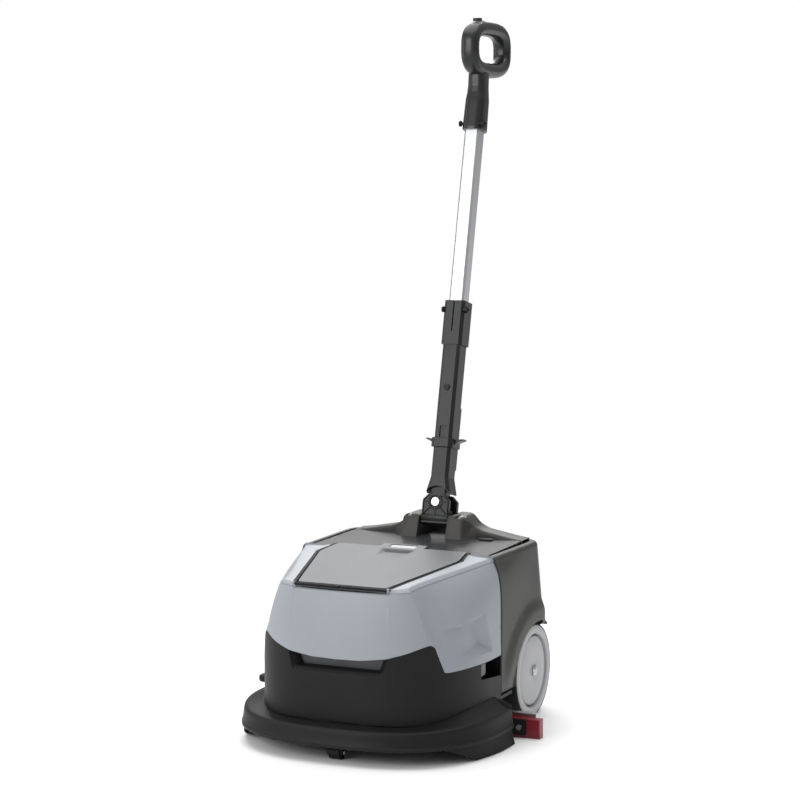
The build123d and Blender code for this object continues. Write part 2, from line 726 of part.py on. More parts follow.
parts = {
    "brush_deck": brush_deck(),
    "deck_edge_strip": deck_edge_strip(),
    "splash_skirt_right": splash_skirt(),
    "splash_skirt_left": left_of(splash_skirt()),
    "lower_shell": lower_shell(),
    "rear_housing": rear_housing(),
    "rear_cover": rear_cover(),
    "base_plate": base_plate(),
    "battery_pack": battery_pack(),
    "control_board": control_board(),
    "drive_motor": drive_motor(),
    "gear_case": gear_case(),
    "suction_motor": suction_motor(),
    "solution_tank": solution_tank(),
    "solution_pump": solution_pump(),
    "wheel_axle": wheel_axle(),
    "roller_bracket": roller_bracket(),
    "roller_pin": roller_pin(),
    "front_roller": front_roller(),
    "housing_screws": housing_screws(),
    "charge_cap": charge_cap(),
    "idler_gear_left": idler_gear(-1),
    "idler_gear_right": idler_gear(1),
    "motor_pinion": motor_pinion(),
    "squeegee_holder": squeegee_holder(),
    "squeegee_blade_front": squeegee_blade_front(),
    "squeegee_blade_rear": squeegee_blade_rear(),
    "blade_clamps": blade_clamps(),
    "clamp_screws": clamp_screws(),
    "squeegee_lever": squeegee_lever(),
    "tank_shell": tank_shell(),
    "lid_seal": lid_seal(),
    "lid_hinge_pin": lid_hinge_pin(),
    "tank_lid": tank_lid(),
    "lid_latch": lid_latch(),
    "yoke": yoke(),
    "yoke_shaft": yoke_shaft(),
    "swing_pin": swing_pin(),
    "mast_front_shell": mast_front_shell(),
    "mast_rear_shell": mast_rear_shell(),
    "collar_bolt": collar_bolt(),
    "shell_screw": shell_screw(),
    "release_slider": release_slider(),
    "mast_tube": mast_tube(),
    "grip_handle": grip_handle(),
    "grip_bolt": grip_bolt(),
    "start_button": start_button(),
}
for side, name in ((-1, "left"), (1, "right")):
    parts["brush_gear_" + name] = brush_gear(side)
    parts["brush_plate_" + name] = brush_plate(side)
    parts["bristles_" + name] = bristles(side)
for name, maker in (("tyre", tyre), ("rim", rim), ("hub_cap", hub_cap)):
    parts[name + "_right"] = maker()
    parts[name + "_left"] = left_of(maker())

os.makedirs("parts", exist_ok=True)
for name, shape in parts.items():
    export_step(Pos(0, frame_shift_y, 0) * shape, "parts/" + name + ".step")
    print(name, round(shape.volume))
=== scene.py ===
import json
import math

import bmesh
import bpy
import numpy as np
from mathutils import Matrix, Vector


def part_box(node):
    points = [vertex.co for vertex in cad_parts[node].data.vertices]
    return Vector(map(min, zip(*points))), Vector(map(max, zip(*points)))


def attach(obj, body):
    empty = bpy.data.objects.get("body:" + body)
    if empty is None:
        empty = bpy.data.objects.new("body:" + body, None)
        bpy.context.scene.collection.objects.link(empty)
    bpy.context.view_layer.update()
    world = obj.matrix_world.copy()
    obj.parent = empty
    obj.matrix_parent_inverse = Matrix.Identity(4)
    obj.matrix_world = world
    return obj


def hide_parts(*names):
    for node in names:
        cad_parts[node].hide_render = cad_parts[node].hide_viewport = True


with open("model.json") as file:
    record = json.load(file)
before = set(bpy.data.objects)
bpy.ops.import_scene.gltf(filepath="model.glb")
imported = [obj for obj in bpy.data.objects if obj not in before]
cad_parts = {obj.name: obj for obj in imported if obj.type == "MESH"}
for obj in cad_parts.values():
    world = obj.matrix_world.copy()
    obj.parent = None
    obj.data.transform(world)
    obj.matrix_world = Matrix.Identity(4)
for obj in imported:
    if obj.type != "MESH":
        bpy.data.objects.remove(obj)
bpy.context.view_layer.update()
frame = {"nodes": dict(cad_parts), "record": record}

print("frame loaded:", len(frame["nodes"]), "nodes")

# Shapes are worked out in millimetres with Y = 0 on the wheel axle's line, then moved into the frame
axleLow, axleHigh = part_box("wheel_axle")
axleY = (axleLow.y + axleHigh.y) / 2


def toFrame(points):
    return points / 1000 + np.array([0, axleY, 0])


def nodeBox(node):  # lowest and highest corner of a node, in the same millimetres
    low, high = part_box(node)
    shift = np.array([0, axleY, 0])
    return (np.array(low) - shift) * 1000, (np.array(high) - shift) * 1000


# Colour and node helpers

def linear(hexText):  # sRGB hex to linear RGBA
    parts = [int(hexText[k:k + 2], 16) / 255 for k in (1, 3, 5)]
    return tuple(c / 12.92 if c <= 0.04045 else ((c + 0.055) / 1.055) ** 2.4 for c in parts) + (1.0,)


def addNode(tree, kind, values=None, links=None, **settings):
    node = tree.nodes.new(kind)
    for key, value in settings.items():
        setattr(node, key, value)
    for key, value in (values or {}).items():
        node.inputs[key].default_value = value
    for key, source in (links or {}).items():
        tree.links.new(source, node.inputs[key])
    return node


def newMaterial(name):
    material = bpy.data.materials.new(name)
    material.use_nodes = True
    material.node_tree.nodes.clear()
    return material, material.node_tree


def surfaceOf(tree, shaderLinks, shaderValues):
    shader = addNode(tree, "ShaderNodeBsdfPrincipled", shaderValues, shaderLinks)
    addNode(tree, "ShaderNodeOutputMaterial", links={"Surface": shader.outputs[0]})
    return shader


def perMillimetre(size):  # texture scale, in cells per metre, for a feature of this many millimetres
    return 1000 / size


cloudSize = 90  # millimetres across a flow cloud in moulded plastic


def mouldedPlastic(name, colour, shade, roughness, grain, depth, coat, gloss):
    # Spark-eroded mould texture: fine even grain that breaks up the shine, and faint flow clouds
    material, tree = newMaterial(name)
    coords = addNode(tree, "ShaderNodeTexCoord").outputs["Object"]
    cloud = addNode(tree, "ShaderNodeTexNoise", {"Scale": perMillimetre(cloudSize), "Detail": 3.0},
                    {"Vector": coords})
    grains = addNode(tree, "ShaderNodeTexNoise", {"Scale": perMillimetre(grain), "Detail": 2.0},
                     {"Vector": coords})
    ramp = addNode(tree, "ShaderNodeValToRGB", links={"Fac": cloud.outputs["Fac"]})
    ramp.color_ramp.elements[0].position = 0.3
    ramp.color_ramp.elements[0].color = linear(shade)
    ramp.color_ramp.elements[1].position = 0.7
    ramp.color_ramp.elements[1].color = linear(colour)
    rough = addNode(tree, "ShaderNodeMapRange", {"To Min": roughness - 0.05, "To Max": roughness + 0.06},
                    {"Value": grains.outputs["Fac"]})
    bump = addNode(tree, "ShaderNodeBump", {"Strength": depth, "Distance": 0.00025},
                   {"Height": grains.outputs["Fac"]})
    surfaceOf(tree, {"Base Color": ramp.outputs["Color"], "Roughness": rough.outputs["Result"],
                     "Normal": bump.outputs["Normal"]},
              {"IOR": 1.5, "Specular IOR Level": gloss, "Coat Weight": coat, "Coat Roughness": 0.12})
    return material


def brushedMetal(name, colour, roughness, along, grain):
    # Drawn or turned metal: long scratches along one axis that stretch its highlights
    material, tree = newMaterial(name)
    coords = addNode(tree, "ShaderNodeTexCoord").outputs["Object"]
    stretch = addNode(tree, "ShaderNodeMapping", {"Scale": along}, {"Vector": coords})
    lines = addNode(tree, "ShaderNodeTexNoise", {"Scale": perMillimetre(grain), "Detail": 4.0},
                    {"Vector": stretch.outputs["Vector"]})
    ramp = addNode(tree, "ShaderNodeValToRGB", links={"Fac": lines.outputs["Fac"]})
    base = linear(colour)
    ramp.color_ramp.elements[0].color = tuple(c * 0.86 for c in base[:3]) + (1.0,)
    ramp.color_ramp.elements[1].color = base
    rough = addNode(tree, "ShaderNodeMapRange", {"To Min": roughness - 0.06, "To Max": roughness + 0.08},
                    {"Value": lines.outputs["Fac"]})
    bump = addNode(tree, "ShaderNodeBump", {"Strength": 0.12, "Distance": 0.0001},
                   {"Height": lines.outputs["Fac"]})
    surfaceOf(tree, {"Base Color": ramp.outputs["Color"], "Roughness": rough.outputs["Result"],
                     "Normal": bump.outputs["Normal"]}, {"Metallic": 1.0})
    return material


finishes = {
    # slot: name, colour, darker shade, roughness, grain mm, bump, coat, gloss of the bare surface
    "grey_shell": ("satin grey ABS", "#999DA3", "#93979E", 0.42, 0.9, 0.10, 0.0, 0.4),
    "lid_grey": ("mid grey textured ABS", "#5C5E61", "#56585B", 0.46, 0.8, 0.20, 0.0, 0.4),
    "cover_black": ("gloss charcoal polycarbonate", "#38393B", "#303133", 0.24, 1.2, 0.06, 0.3, 0.5),
    "body_black": ("charcoal textured polypropylene", "#18181A", "#141415", 0.5, 0.7, 0.25, 0.0, 0.22),
    "housing_black": ("warm charcoal ABS", "#3A3937", "#33322F", 0.42, 0.8, 0.20, 0.0, 0.3),
    "mast_black": ("black glass-filled nylon", "#1C1D1F", "#17181A", 0.36, 0.8, 0.25, 0.0, 0.35),
    "grip_black": ("satin black soft-touch grip", "#1C1D1E", "#161718", 0.32, 1.0, 0.12, 0.1, 0.4),
    "wheel_grey": ("light grey polypropylene wheel", "#AFB0B2", "#A8A9AC", 0.42, 0.9, 0.12, 0.0, 0.4),
    "brush_block": ("grey polypropylene brush block", "#5A6168", "#50575E", 0.5, 1.0, 0.2, 0.0, 0.4),
    "gear_nylon": ("natural nylon gear", "#D8D2C0", "#CBC4AF", 0.4, 0.6, 0.12, 0.0, 0.45),
    "pan_plastic": ("glass-filled nylon pan", "#2A2C2E", "#232527", 0.55, 1.1, 0.3, 0.0, 0.35),
    "battery_case": ("blue-grey battery case ABS", "#3E4B5A", "#35414F", 0.45, 1.0, 0.2, 0.0, 0.4),
    "board_green": ("solder-masked circuit board", "#1F5A37", "#174A2C", 0.3, 2.4, 0.1, 0.2, 0.5),
    "skirt_rubber": ("black rubber skirt", "#131314", "#0F0F10", 0.6, 1.1, 0.35, 0.0, 0.25),
    "seal_rubber": ("black EPDM gasket", "#0C0C0D", "#080809", 0.6, 0.9, 0.3, 0.0, 0.2),
    "tyre_rubber": ("charcoal tyre rubber", "#2F2F30", "#282829", 0.6, 1.0, 0.35, 0.0, 0.3),
    "roller_rubber": ("black roller rubber", "#161617", "#111112", 0.55, 0.9, 0.3, 0.0, 0.3),
    "blade_red": ("red polyurethane blade", "#7E1524", "#6B111D", 0.36, 1.2, 0.15, 0.15, 0.4),
    "blade_grey": ("grey linatex blade", "#5C5E60", "#525456", 0.5, 1.0, 0.2, 0.0, 0.4),
    "tank_clear": ("milky polyethylene tank", "#D9DCD8", "#CDD1CC", 0.38, 1.4, 0.12, 0.1, 0.45),
    "bristle_nylon": ("blue-grey nylon bristle", "#38414B", "#2C343D", 0.4, 0.6, 0.1, 0.0, 0.4),
}
metals = {
    # slot: name, colour, roughness, stretch, grain mm
    "tube_metal": ("satin anodised aluminium tube", "#C6C8CB", 0.38, (1.0, 1.0, 0.02), 0.8),
    "steel": ("zinc plated steel", "#B9BABC", 0.3, (1.0, 1.0, 1.0), 1.5),
    "black_steel": ("blackened steel screw", "#2C2C2E", 0.42, (1.0, 1.0, 1.0), 1.2),
    "holder_alu": ("extruded aluminium holder", "#C4C6C8", 0.36, (0.02, 1.0, 1.0), 0.8),
    "motor_steel": ("drawn steel motor can", "#A5A7AA", 0.38, (1.0, 1.0, 0.05), 1.0),
}
slotMaterials = {}
for slotName, values in finishes.items():
    slotMaterials[slotName] = mouldedPlastic(*values)
for slotName, values in metals.items():
    slotMaterials[slotName] = brushedMetal(*values)

nodeSlots = {row["node"]: row["material_slot"] for row in frame["record"]["subparts"]}
rounding = {"mast_front_shell": 1.2, "mast_rear_shell": 1.2, "yoke": 1.0, "lid_latch": 0.6,
            "release_slider": 1.2, "squeegee_blade_front": 1.0, "blade_clamps": 0.6,
            "charge_cap": 0.6, "start_button": 0.8, "squeegee_holder": 0.6,
            "roller_bracket": 0.8, "battery_pack": 3.0, "solution_pump": 2.0}
for nodeName, nodeObject in frame["nodes"].items():
    nodeObject.data.materials.clear()
    nodeObject.data.materials.append(slotMaterials[nodeSlots[nodeName]])
    if nodeName in rounding:
        weld = nodeObject.modifiers.new("weld", "WELD")
        weld.merge_threshold = 1e-5
        bevel = nodeObject.modifiers.new("roundedEdges", "BEVEL")
        bevel.width = rounding[nodeName] / 1000
        bevel.segments = 3
        bevel.limit_method = "ANGLE"
        bevel.angle_limit = math.radians(38)
        bevel.harden_normals = True
        bevel.use_clamp_overlap = True
print("materials ready:", len(slotMaterials))


# Surface helpers

def pointGrid(x, y, z):  # three arrays of any matching shapes made one grid of points
    return np.stack(np.broadcast_arrays(x, y, z), -1)


def raised(plan, z):  # plan points lifted to their heights
    return np.stack([*plan.T, z], -1)


def gridFaces(rows, cols, closed):
    # quads between neighbouring rows and columns; the last column joins the first when closed
    r = np.arange(rows - 1)[:, None]
    c = np.arange(cols if closed else cols - 1)[None, :]
    a = r * cols + c
    b = r * cols + (c + 1) % cols
    return np.stack([a, b, b + cols, a + cols], -1).reshape(-1, 4)


def makePiece(name, patches, body, slotName, standsFor=(), thickness=0.0, bevel=0.0, sharp=32, evenWall=True):
    # patches are (points, faces) pairs; faces may be a quad array or lists of corner numbers
    points, faces, start = [], [], 0
    for patchPoints, patchFaces in patches:
        flat = patchPoints.reshape(-1, 3)
        points.append(flat)
        faces += [[int(v) + start for v in face] for face in patchFaces]
        start += len(flat)
    mesh = bpy.data.meshes.new(name)
    mesh.from_pydata(toFrame(np.concatenate(points)).tolist(), [], faces)
    shape = bmesh.new()
    shape.from_mesh(mesh)
    bmesh.ops.remove_doubles(shape, verts=shape.verts, dist=2e-6)
    bmesh.ops.dissolve_degenerate(shape, edges=shape.edges, dist=1e-6)
    shape.to_mesh(mesh)
    shape.free()
    mesh.polygons.foreach_set("use_smooth", np.ones(len(mesh.polygons), bool))
    mesh.set_sharp_from_angle(angle=math.radians(sharp))
    mesh.materials.append(slotMaterials[slotName])
    piece = bpy.data.objects.new(name, mesh)
    bpy.context.scene.collection.objects.link(piece)
    if thickness:
        wall = piece.modifiers.new("wall", "SOLIDIFY")
        wall.thickness = thickness / 1000
        wall.offset = -1.0
        wall.use_even_offset = evenWall
    if bevel:
        edge = piece.modifiers.new("roundedEdges", "BEVEL")
        edge.width = bevel / 1000
        edge.segments = 2
        edge.limit_method = "ANGLE"
        edge.angle_limit = math.radians(sharp)
        edge.harden_normals = True
    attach(piece, body)
    if standsFor:
        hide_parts(*standsFor)
    return piece


def arcLength(curve):
    return np.concatenate([[0.0], np.cumsum(np.hypot(*np.diff(curve, axis=0).T))])


def spreadStations(marks, counts):  # even stations between neighbouring marks
    stretches = [np.linspace(a, b, n, endpoint=False) for a, b, n in zip(marks[:-1], marks[1:], counts)]
    return np.concatenate(stretches + [[marks[-1]]])


def alongCurve(curve, stations):
    s = arcLength(curve)
    return np.stack([np.interp(stations, s, curve[:, 0]), np.interp(stations, s, curve[:, 1])], 1)


def halfOutline(halfWidth, halfLength, powers, centreY, rearY, samples=1500):
    # |x/a|^m + |y/b|^n = 1 from the front centre to the side, then straight to the rear corner and centre
    t = np.linspace(0, math.pi / 2, samples)
    x = halfWidth * np.sin(t) ** (2 / powers[0])
    y = centreY - halfLength * np.cos(t) ** (2 / powers[1])
    return np.stack([np.append(x, [halfWidth, 0]), np.append(y, [rearY, rearY])], 1)


def bothHalves(half):
    # half grid from front centre to rear centre on the right, made a closed ring by its mirror image
    left = half[:, -2:0:-1] * np.array([-1, 1, 1])
    return np.concatenate([half, left], 1)


def smoothStep(t):
    t = np.clip(t, 0, 1)
    return t * t * (3 - 2 * t)


def inwardNormals(curve):  # unit vectors to the inside of a half outline that runs front, right, rear
    tangent = np.gradient(curve, axis=0)
    tangent /= np.maximum(np.hypot(tangent[:, 0], tangent[:, 1]), 1e-9)[:, None]
    return np.stack([-tangent[:, 1], tangent[:, 0]], 1)


def powerCircle(angle, power):  # point at an angle on |x|^p + |y|^p = 1
    c, s = np.cos(angle), np.sin(angle)
    scale = (np.abs(c) ** power + np.abs(s) ** power) ** (-1 / power)
    return c * scale, s * scale


def ringPatch(half):
    ring = bothHalves(half)
    return ring, gridFaces(ring.shape[0], ring.shape[1], True)


# Body outline shared by the tank and the lower shell
bodyShape = {
    "halfWidth": 181.5,
    "halfLength": 186.0,
    "powers": (3.4, 2.2),
    "centreY": -190.0,
    "rearY": -155.0,
    "seam": ((0, 154.5), (40, 155.5), (82, 160.5), (111, 169), (132, 177), (139, 179.3), (142.5, 179),
             (145, 175.5), (154.5, 136), (157, 134.3), (180, 134.5), (182, 133.5)),
    "topFrontY": -359.0,
    "topFrontZ": 265.0,
    "topRise": 25 / 229,
}
bodyCurve = halfOutline(bodyShape["halfWidth"], bodyShape["halfLength"], bodyShape["powers"],
                        bodyShape["centreY"], bodyShape["rearY"])
bodyLength = arcLength(bodyCurve)


def bodyMark(x=None, y=None):  # arc length where the body outline reaches an X in front or a Y at the side
    if x is not None:
        return float(np.interp(x, bodyCurve[:1500, 0], bodyLength[:1500]))
    return float(np.interp(y, bodyCurve[:1501, 1], bodyLength[:1501]))


def topHeight(y, above=0.0):  # height of the sloping top at a Y
    return bodyShape["topFrontZ"] + (y - bodyShape["topFrontY"]) * bodyShape["topRise"] + above


def seamHeight(x):
    xs, zs = np.array(bodyShape["seam"], float).T
    return np.interp(x, xs, zs)


# Tank shell
tankShape = {
    "shoulder": ((0, -363.5), (40, -362.6), (79, -359), (98, -354.5), (110, -346), (116, -332),
                 (140, -245), (165, -158), (166.5, -147)),
    "pocketSide": ((79.5, -361), (88, -326), (125, -192), (128.7, -185), (127.5, -178), (118.7, -156),
                   (118.7, -146)),
    "sideKnots": (0.14, 0.52, 0.93, 1.0),
    "cornerSoftening": 9,
    "leanStart": 165.0,
    "leanPower": (1.6, 4.5),
    "frontDrop": 8.5,
    "bandDrop": 6.5,
    "bandInset": 5.0,
    "edgeInset": 1.2,
    "rimSteps": ((0.9, 0.2), (0.9, 0.9), (0.3, 1.1), (1.0, 1.9)),
    "pocketDepth": 6.5,
    "ledge": (13.0, 9.0),
    "floor": (26, 181.0),
    "wall": 2.5,
    "dent": ((-313, 201), (-213.6, 210.4), (-187, 148), (-294, 151)),
    "dentSlopes": (0.95, 0.75, 0.8, 0.17),
    "hollow": 7.0,
    "hollowReach": 42.0,
}


def dentDepth(y, z):
    # depth of the side hand grip: the least of four slopes measured inward from the edges of its outline
    corners = np.array(tankShape["dent"], float)
    depth = np.full(y.shape, 1e9)
    for k, slope in enumerate(tankShape["dentSlopes"]):
        start, end = corners[k], corners[(k + 1) % 4]
        along = (end - start) / np.hypot(*(end - start))
        inside = along[1] * (y - start[0]) - along[0] * (z - start[1])
        depth = np.minimum(depth, slope * inside)
    return np.clip(depth, 0, None)  # the outline runs clockwise as seen from the right


def buildTank():
    # rings share their columns; wall = lower outline + (shoulder - lower outline) * height share ^ power
    marks = [0, bodyMark(x=84), bodyMark(x=111), bodyMark(x=139), bodyMark(x=145), bodyMark(x=154.5),
             bodyMark(y=-300), bodyMark(y=-180), bodyLength[-2], bodyLength[-1]]
    stations = spreadStations(marks, (40, 12, 12, 6, 12, 8, 70, 14, 30))
    jump = marks[1]
    stations = np.sort(np.append(stations, [jump + 0.4, marks[8] + 0.5]))  # both steps in the rim are steep
    lower = alongCurve(bodyCurve, stations)
    rearCorner, rearMiddle = marks[8:]
    isFront = stations <= jump + 1e-6
    isRear = stations > rearCorner + 1e-6
    isEnd = isFront | isRear
    rearTop = tankShape["shoulder"][-1][1]
    shoulder = np.array(tankShape["shoulder"] + ((0, rearTop),), float)
    crease = marks[3]
    knots = [0, jump * 0.5, jump, marks[2], crease]
    knots += [crease + (rearCorner - crease) * q for q in tankShape["sideKnots"]] + [rearMiddle]
    upper = np.stack([np.interp(stations, knots, shoulder[:, k]) for k in (0, 1)], 1)
    softened = upper.copy()
    spread = np.linspace(-1, 1, 13) * tankShape["cornerSoftening"]
    mirrored = np.append(-knots[1], knots)
    for k in (0, 1):
        values = np.append(shoulder[1, k] * (-1 if k == 0 else 1), shoulder[:, k])
        softened[:, k] = np.mean([np.interp(stations + d, mirrored, values) for d in spread], 0)
    nearRear = smoothStep((stations - (rearCorner - 30)) / 20)[:, None]
    upper = softened * (1 - nearRear) + upper * nearRear
    upper[0, 0] = 0
    backward = np.clip((stations - crease) / (rearCorner - crease), 0, 1)
    low, high = tankShape["leanPower"]
    power = low + (high - low) * smoothStep(backward)
    drop = np.where(isFront, tankShape["frontDrop"], tankShape["bandDrop"])
    drop = np.where(isRear, tankShape["pocketDepth"] + 3.5, drop)
    foot = seamHeight(lower[:, 0]) + 0.5
    foot = np.where(isRear, foot[~isRear][-1], foot)
    head = topHeight(upper[:, 1]) - drop
    t = np.linspace(0, 1, 60)[:, None]
    z = foot + (head - foot) * t
    share = np.clip((z - tankShape["leanStart"]) / (head + 2 - tankShape["leanStart"]), 0, 1) ** power
    wall = np.stack([lower[:, 0] + (upper[:, 0] - lower[:, 0]) * share,
                     lower[:, 1] + (upper[:, 1] - lower[:, 1]) * share, z], -1)
    inward = inwardNormals(lower)
    dent = dentDepth(wall[..., 1], wall[..., 2]) * ((stations > crease) & ~isRear)
    behind = np.clip(stations - crease, 0, None) / tankShape["hollowReach"]
    dent = dent + tankShape["hollow"] * behind * np.exp(1 - behind) * smoothStep(t * 3) * ~isRear
    wall[..., 0] += inward[:, 0] * dent
    wall[..., 1] += inward[:, 1] * dent
    rim = wall[-1, :, :2]
    inwardTop = inwardNormals(upper)
    inwardTop[isRear] = (0, -1)
    inwardTop[np.argmax(isRear) - 1] = (-0.7, -0.7)
    rows = [wall]
    for inset, rise in tankShape["rimSteps"]:  # fine groove, then the rounded foot of the band
        flat = np.where(isEnd, 0.25, 1.0)
        level = np.where(isEnd, rise * 0.3, rise)
        rows.append(raised(rim + inwardTop * (inset * flat)[:, None], head + level)[None])
    widening = smoothStep((stations - jump) / 24)  # the band starts narrow at the lid's front corner
    narrow = tankShape["edgeInset"]
    bandInset = np.where(isEnd, narrow, narrow + (tankShape["bandInset"] - narrow) * widening)
    bandTop = np.where(isEnd, 0.6, tankShape["bandDrop"])
    bandRow = raised(rim + inwardTop * bandInset[:, None], head + bandTop - 0.3)
    marginStart = raised(rim + inwardTop * (bandInset + 0.8)[:, None], head + bandTop)
    rows += [bandRow[None], marginStart[None]]
    pocket = np.array(tankShape["pocketSide"], float)
    pocketShare = np.clip((stations - jump) / (rearCorner - jump), 0, 1)
    inner = alongCurve(pocket, pocketShare * arcLength(pocket)[-1])
    inner[isFront] = np.stack([upper[isFront, 0] * 0.985, upper[isFront, 1] + 3.0], 1)
    rearShare = np.clip((stations - rearCorner) / (rearMiddle - rearCorner), 0, 1)
    inner[isRear] = np.stack([pocket[-1, 0] * (1 - rearShare[isRear]), np.full(isRear.sum(), rearTop - 3)], 1)
    innerZ = np.where(isEnd, head + 0.3, topHeight(inner[:, 1]))
    innerRow = raised(inner, innerZ)
    for q in (0.33, 0.66, 0.97):
        rows.append((marginStart + (innerRow - marginStart) * q)[None])
    pocketIn = inwardNormals(inner)
    pocketIn[isRear] = (0, -1)
    pocketIn[isFront] = (0, 1)
    pocketFloor = np.minimum(topHeight(inner[:, 1]) - tankShape["pocketDepth"] - 3, innerZ - 2)
    down = inner + pocketIn * 0.8
    sideLedge, rearLedge = tankShape["ledge"]
    ledge = np.where(isRear, rearLedge, sideLedge)[:, None]
    rows.append(raised(down, np.where(isEnd, innerZ - 0.5, innerZ - 1.0))[None])
    rows.append(raised(down + pocketIn * 0.4, pocketFloor)[None])
    rows.append(raised(down + pocketIn * ledge, pocketFloor)[None])
    rows.append(raised(down + pocketIn * (ledge + 1), pocketFloor - 7)[None])
    half = np.concatenate(rows)
    patches = [ringPatch(half)]
    floorInset, floorZ = tankShape["floor"]
    floorHalf = lower + inward * floorInset
    floorHalf[isRear, 1] = bodyShape["rearY"] - 3
    floorRing = bothHalves(raised(floorHalf, np.full(len(stations), floorZ))[None])[0]
    patches.append((floorRing, [list(range(len(floorRing)))]))
    return makePiece("tankShell", patches, "tank", "grey_shell", ("tank_shell",), thickness=tankShape["wall"],
                     evenWall=False)


tank = buildTank()
print("tank shell:", len(tank.data.polygons), "faces")

# Lower shell
lowerShape = {
    "bottom": 58.0,
    "notchHalf": (75.0, 84.0),
    "notchBottom": 131.0,
    "shelfRise": 9.0,
    "shelfY": -357.0,
    "windowFront": -231.0,
    "windowBottom": (110.0, 102.0),
    "rearY": -153.0,
    "wall": 3.0,
    "shadeSheetPath": ((150, -242), (150, -190), (150, -156), (152, -150), (156, -148), (168, -148),
                  (179.5, -148)),
    "shadeSheetZ": (76, 183),
}


def buildLowerShell():
    # the body outline pushed straight up to a top edge that follows the seam, the notch and the side window
    curve = bodyCurve.copy()
    curve[-2:, 1] = lowerShape["rearY"]
    length = arcLength(curve)
    notchIn, notchOut = lowerShape["notchHalf"]
    windowMark = bodyMark(y=lowerShape["windowFront"])
    marks = [0, bodyMark(x=notchIn), bodyMark(x=notchOut), bodyMark(x=111), bodyMark(x=132), bodyMark(x=139),
             bodyMark(x=145), bodyMark(x=154.5), windowMark - 0.5, windowMark + 0.5, length[-2]]
    stations = spreadStations(marks, (30, 8, 10, 10, 4, 6, 12, 34, 1, 24))
    plan = alongCurve(curve, stations)
    seam = seamHeight(plan[:, 0])
    notch = np.interp(plan[:, 0], [0, notchIn, notchOut], [lowerShape["notchBottom"]] * 2 + [162.0])
    top = np.where(plan[:, 0] < notchOut, np.minimum(seam, notch), seam)
    sill = np.interp(plan[:, 1], [lowerShape["windowFront"], lowerShape["rearY"]], lowerShape["windowBottom"])
    top = np.where(stations > windowMark + 0.1, sill, top)
    t = np.linspace(0, 1, 24)[:, None]
    z = lowerShape["bottom"] + (top - lowerShape["bottom"]) * t
    half = pointGrid(plan[:, 0], plan[:, 1], z)
    strip = np.concatenate([half[:, :0:-1] * np.array([-1, 1, 1]), half], 1)
    patches = [(strip, gridFaces(strip.shape[0], strip.shape[1], False))]
    makePiece("lowerShell", patches, "chassis", "body_black", ("lower_shell",), lowerShape["wall"], bevel=1.0)
    # finger shelf: the notch edge carried back and up to the inner lip
    edgeX = np.concatenate([np.linspace(-notchOut, -notchIn, 8), np.linspace(-notchIn, notchIn, 40)[1:-1],
                            np.linspace(notchIn, notchOut, 8)])
    edgeZ = np.interp(abs(edgeX), [notchIn, notchOut], [lowerShape["notchBottom"], 160.5])
    edgeY = np.interp(abs(edgeX), curve[:1500, 0], curve[:1500, 1])
    share = np.array([0, 0.05, 0.22, 0.42, 0.9, 1.0, 1.02])[:, None]
    bend = np.array([0, 0.08, 0.75, 0.9, 1.0, 1.0, 0.0])[:, None]
    lean = 1 - 0.12 * smoothStep(share)
    x = edgeX * lean
    y = edgeY + (lowerShape["shelfY"] - edgeY) * share
    z = edgeZ + lowerShape["shelfRise"] * bend * np.interp(edgeZ, [131, 160], [1, 0.3])
    shelfPoints = pointGrid(x, y, z)
    behind = shelfPoints[-1:].copy()
    behind[..., 2] = 100
    shelfPoints = np.concatenate([shelfPoints, behind])
    makePiece("liftShelf", [(shelfPoints, gridFaces(shelfPoints.shape[0], len(edgeX), False))], "chassis",
              "body_black", (), thickness=1.5, sharp=50)
    # near-black sheet behind the side windows: painted shade for the body's inside seen through them
    shadeSheetPath = np.array(lowerShape["shadeSheetPath"], float)
    shadeSheetZ = np.linspace(*lowerShape["shadeSheetZ"], 8)[:, None]
    patches = []
    for side in (-1, 1):
        shadeSheet = pointGrid(side * shadeSheetPath[:, 0], shadeSheetPath[:, 1], shadeSheetZ)
        patches.append((shadeSheet, gridFaces(8, 7, False)[:, ::side]))
    # the near-black rubber on this sheet is painted shade, standing where the body's inside lies in shadow
    makePiece("windowShadeSheet", patches, "chassis", "seal_rubber", (), thickness=1.5)


buildLowerShell()


gripLipShape = {
    "half": 78,
    "heights": (135, 136, 139, 144, 150, 156, 162),
    "setBack": (3, 1, 0, -0.6, -1.6, -3.5, -7),
    "frontY": -356.0,
    "lugMiddle": (170, -221),
    "lugHalf": (8, 17),
    "lugHeights": (112, 112.4, 113.6, 116, 130, 139),
    "lugInsets": (6, 3.2, 1.2, 0, 0, 0),
}


def buildTankGrip():
    # grey inner lip under the tank's front edge, and the rounded lug in each side window; both take the
    # darker lid grey as painted shade for the deep place the lip sits in under the edge
    half = gripLipShape["half"]
    x = np.linspace(-half, half, 40)
    z = np.array(gripLipShape["heights"])[:, None]
    y = gripLipShape["frontY"] + 6 * (np.abs(x) / half) ** 4 + np.array(gripLipShape["setBack"])[:, None]
    patches = [(pointGrid(x, y, z), gridFaces(7, 40, False))]
    across, along = powerCircle(np.linspace(0, 2 * math.pi, 32, endpoint=False), 3.5)
    heights = np.array(gripLipShape["lugHeights"])[:, None]
    inset = np.array(gripLipShape["lugInsets"])[:, None]
    (middleX, middleY), (halfX, halfY) = gripLipShape["lugMiddle"], gripLipShape["lugHalf"]
    for side in (-1, 1):
        lug = pointGrid(side * (middleX + (halfX - inset) * across), middleY + (halfY - inset) * along,
                        heights)
        faces = gridFaces(6, 32, True)[:, ::side].tolist()
        patches.append((lug, faces + [list(range(32))[::-side]]))
    # the darker lid grey on this piece is painted shade, not the part's own colour
    makePiece("tankGrip", patches, "tank", "lid_grey", (), thickness=1.5)


buildTankGrip()
print("lower shell and grips done")

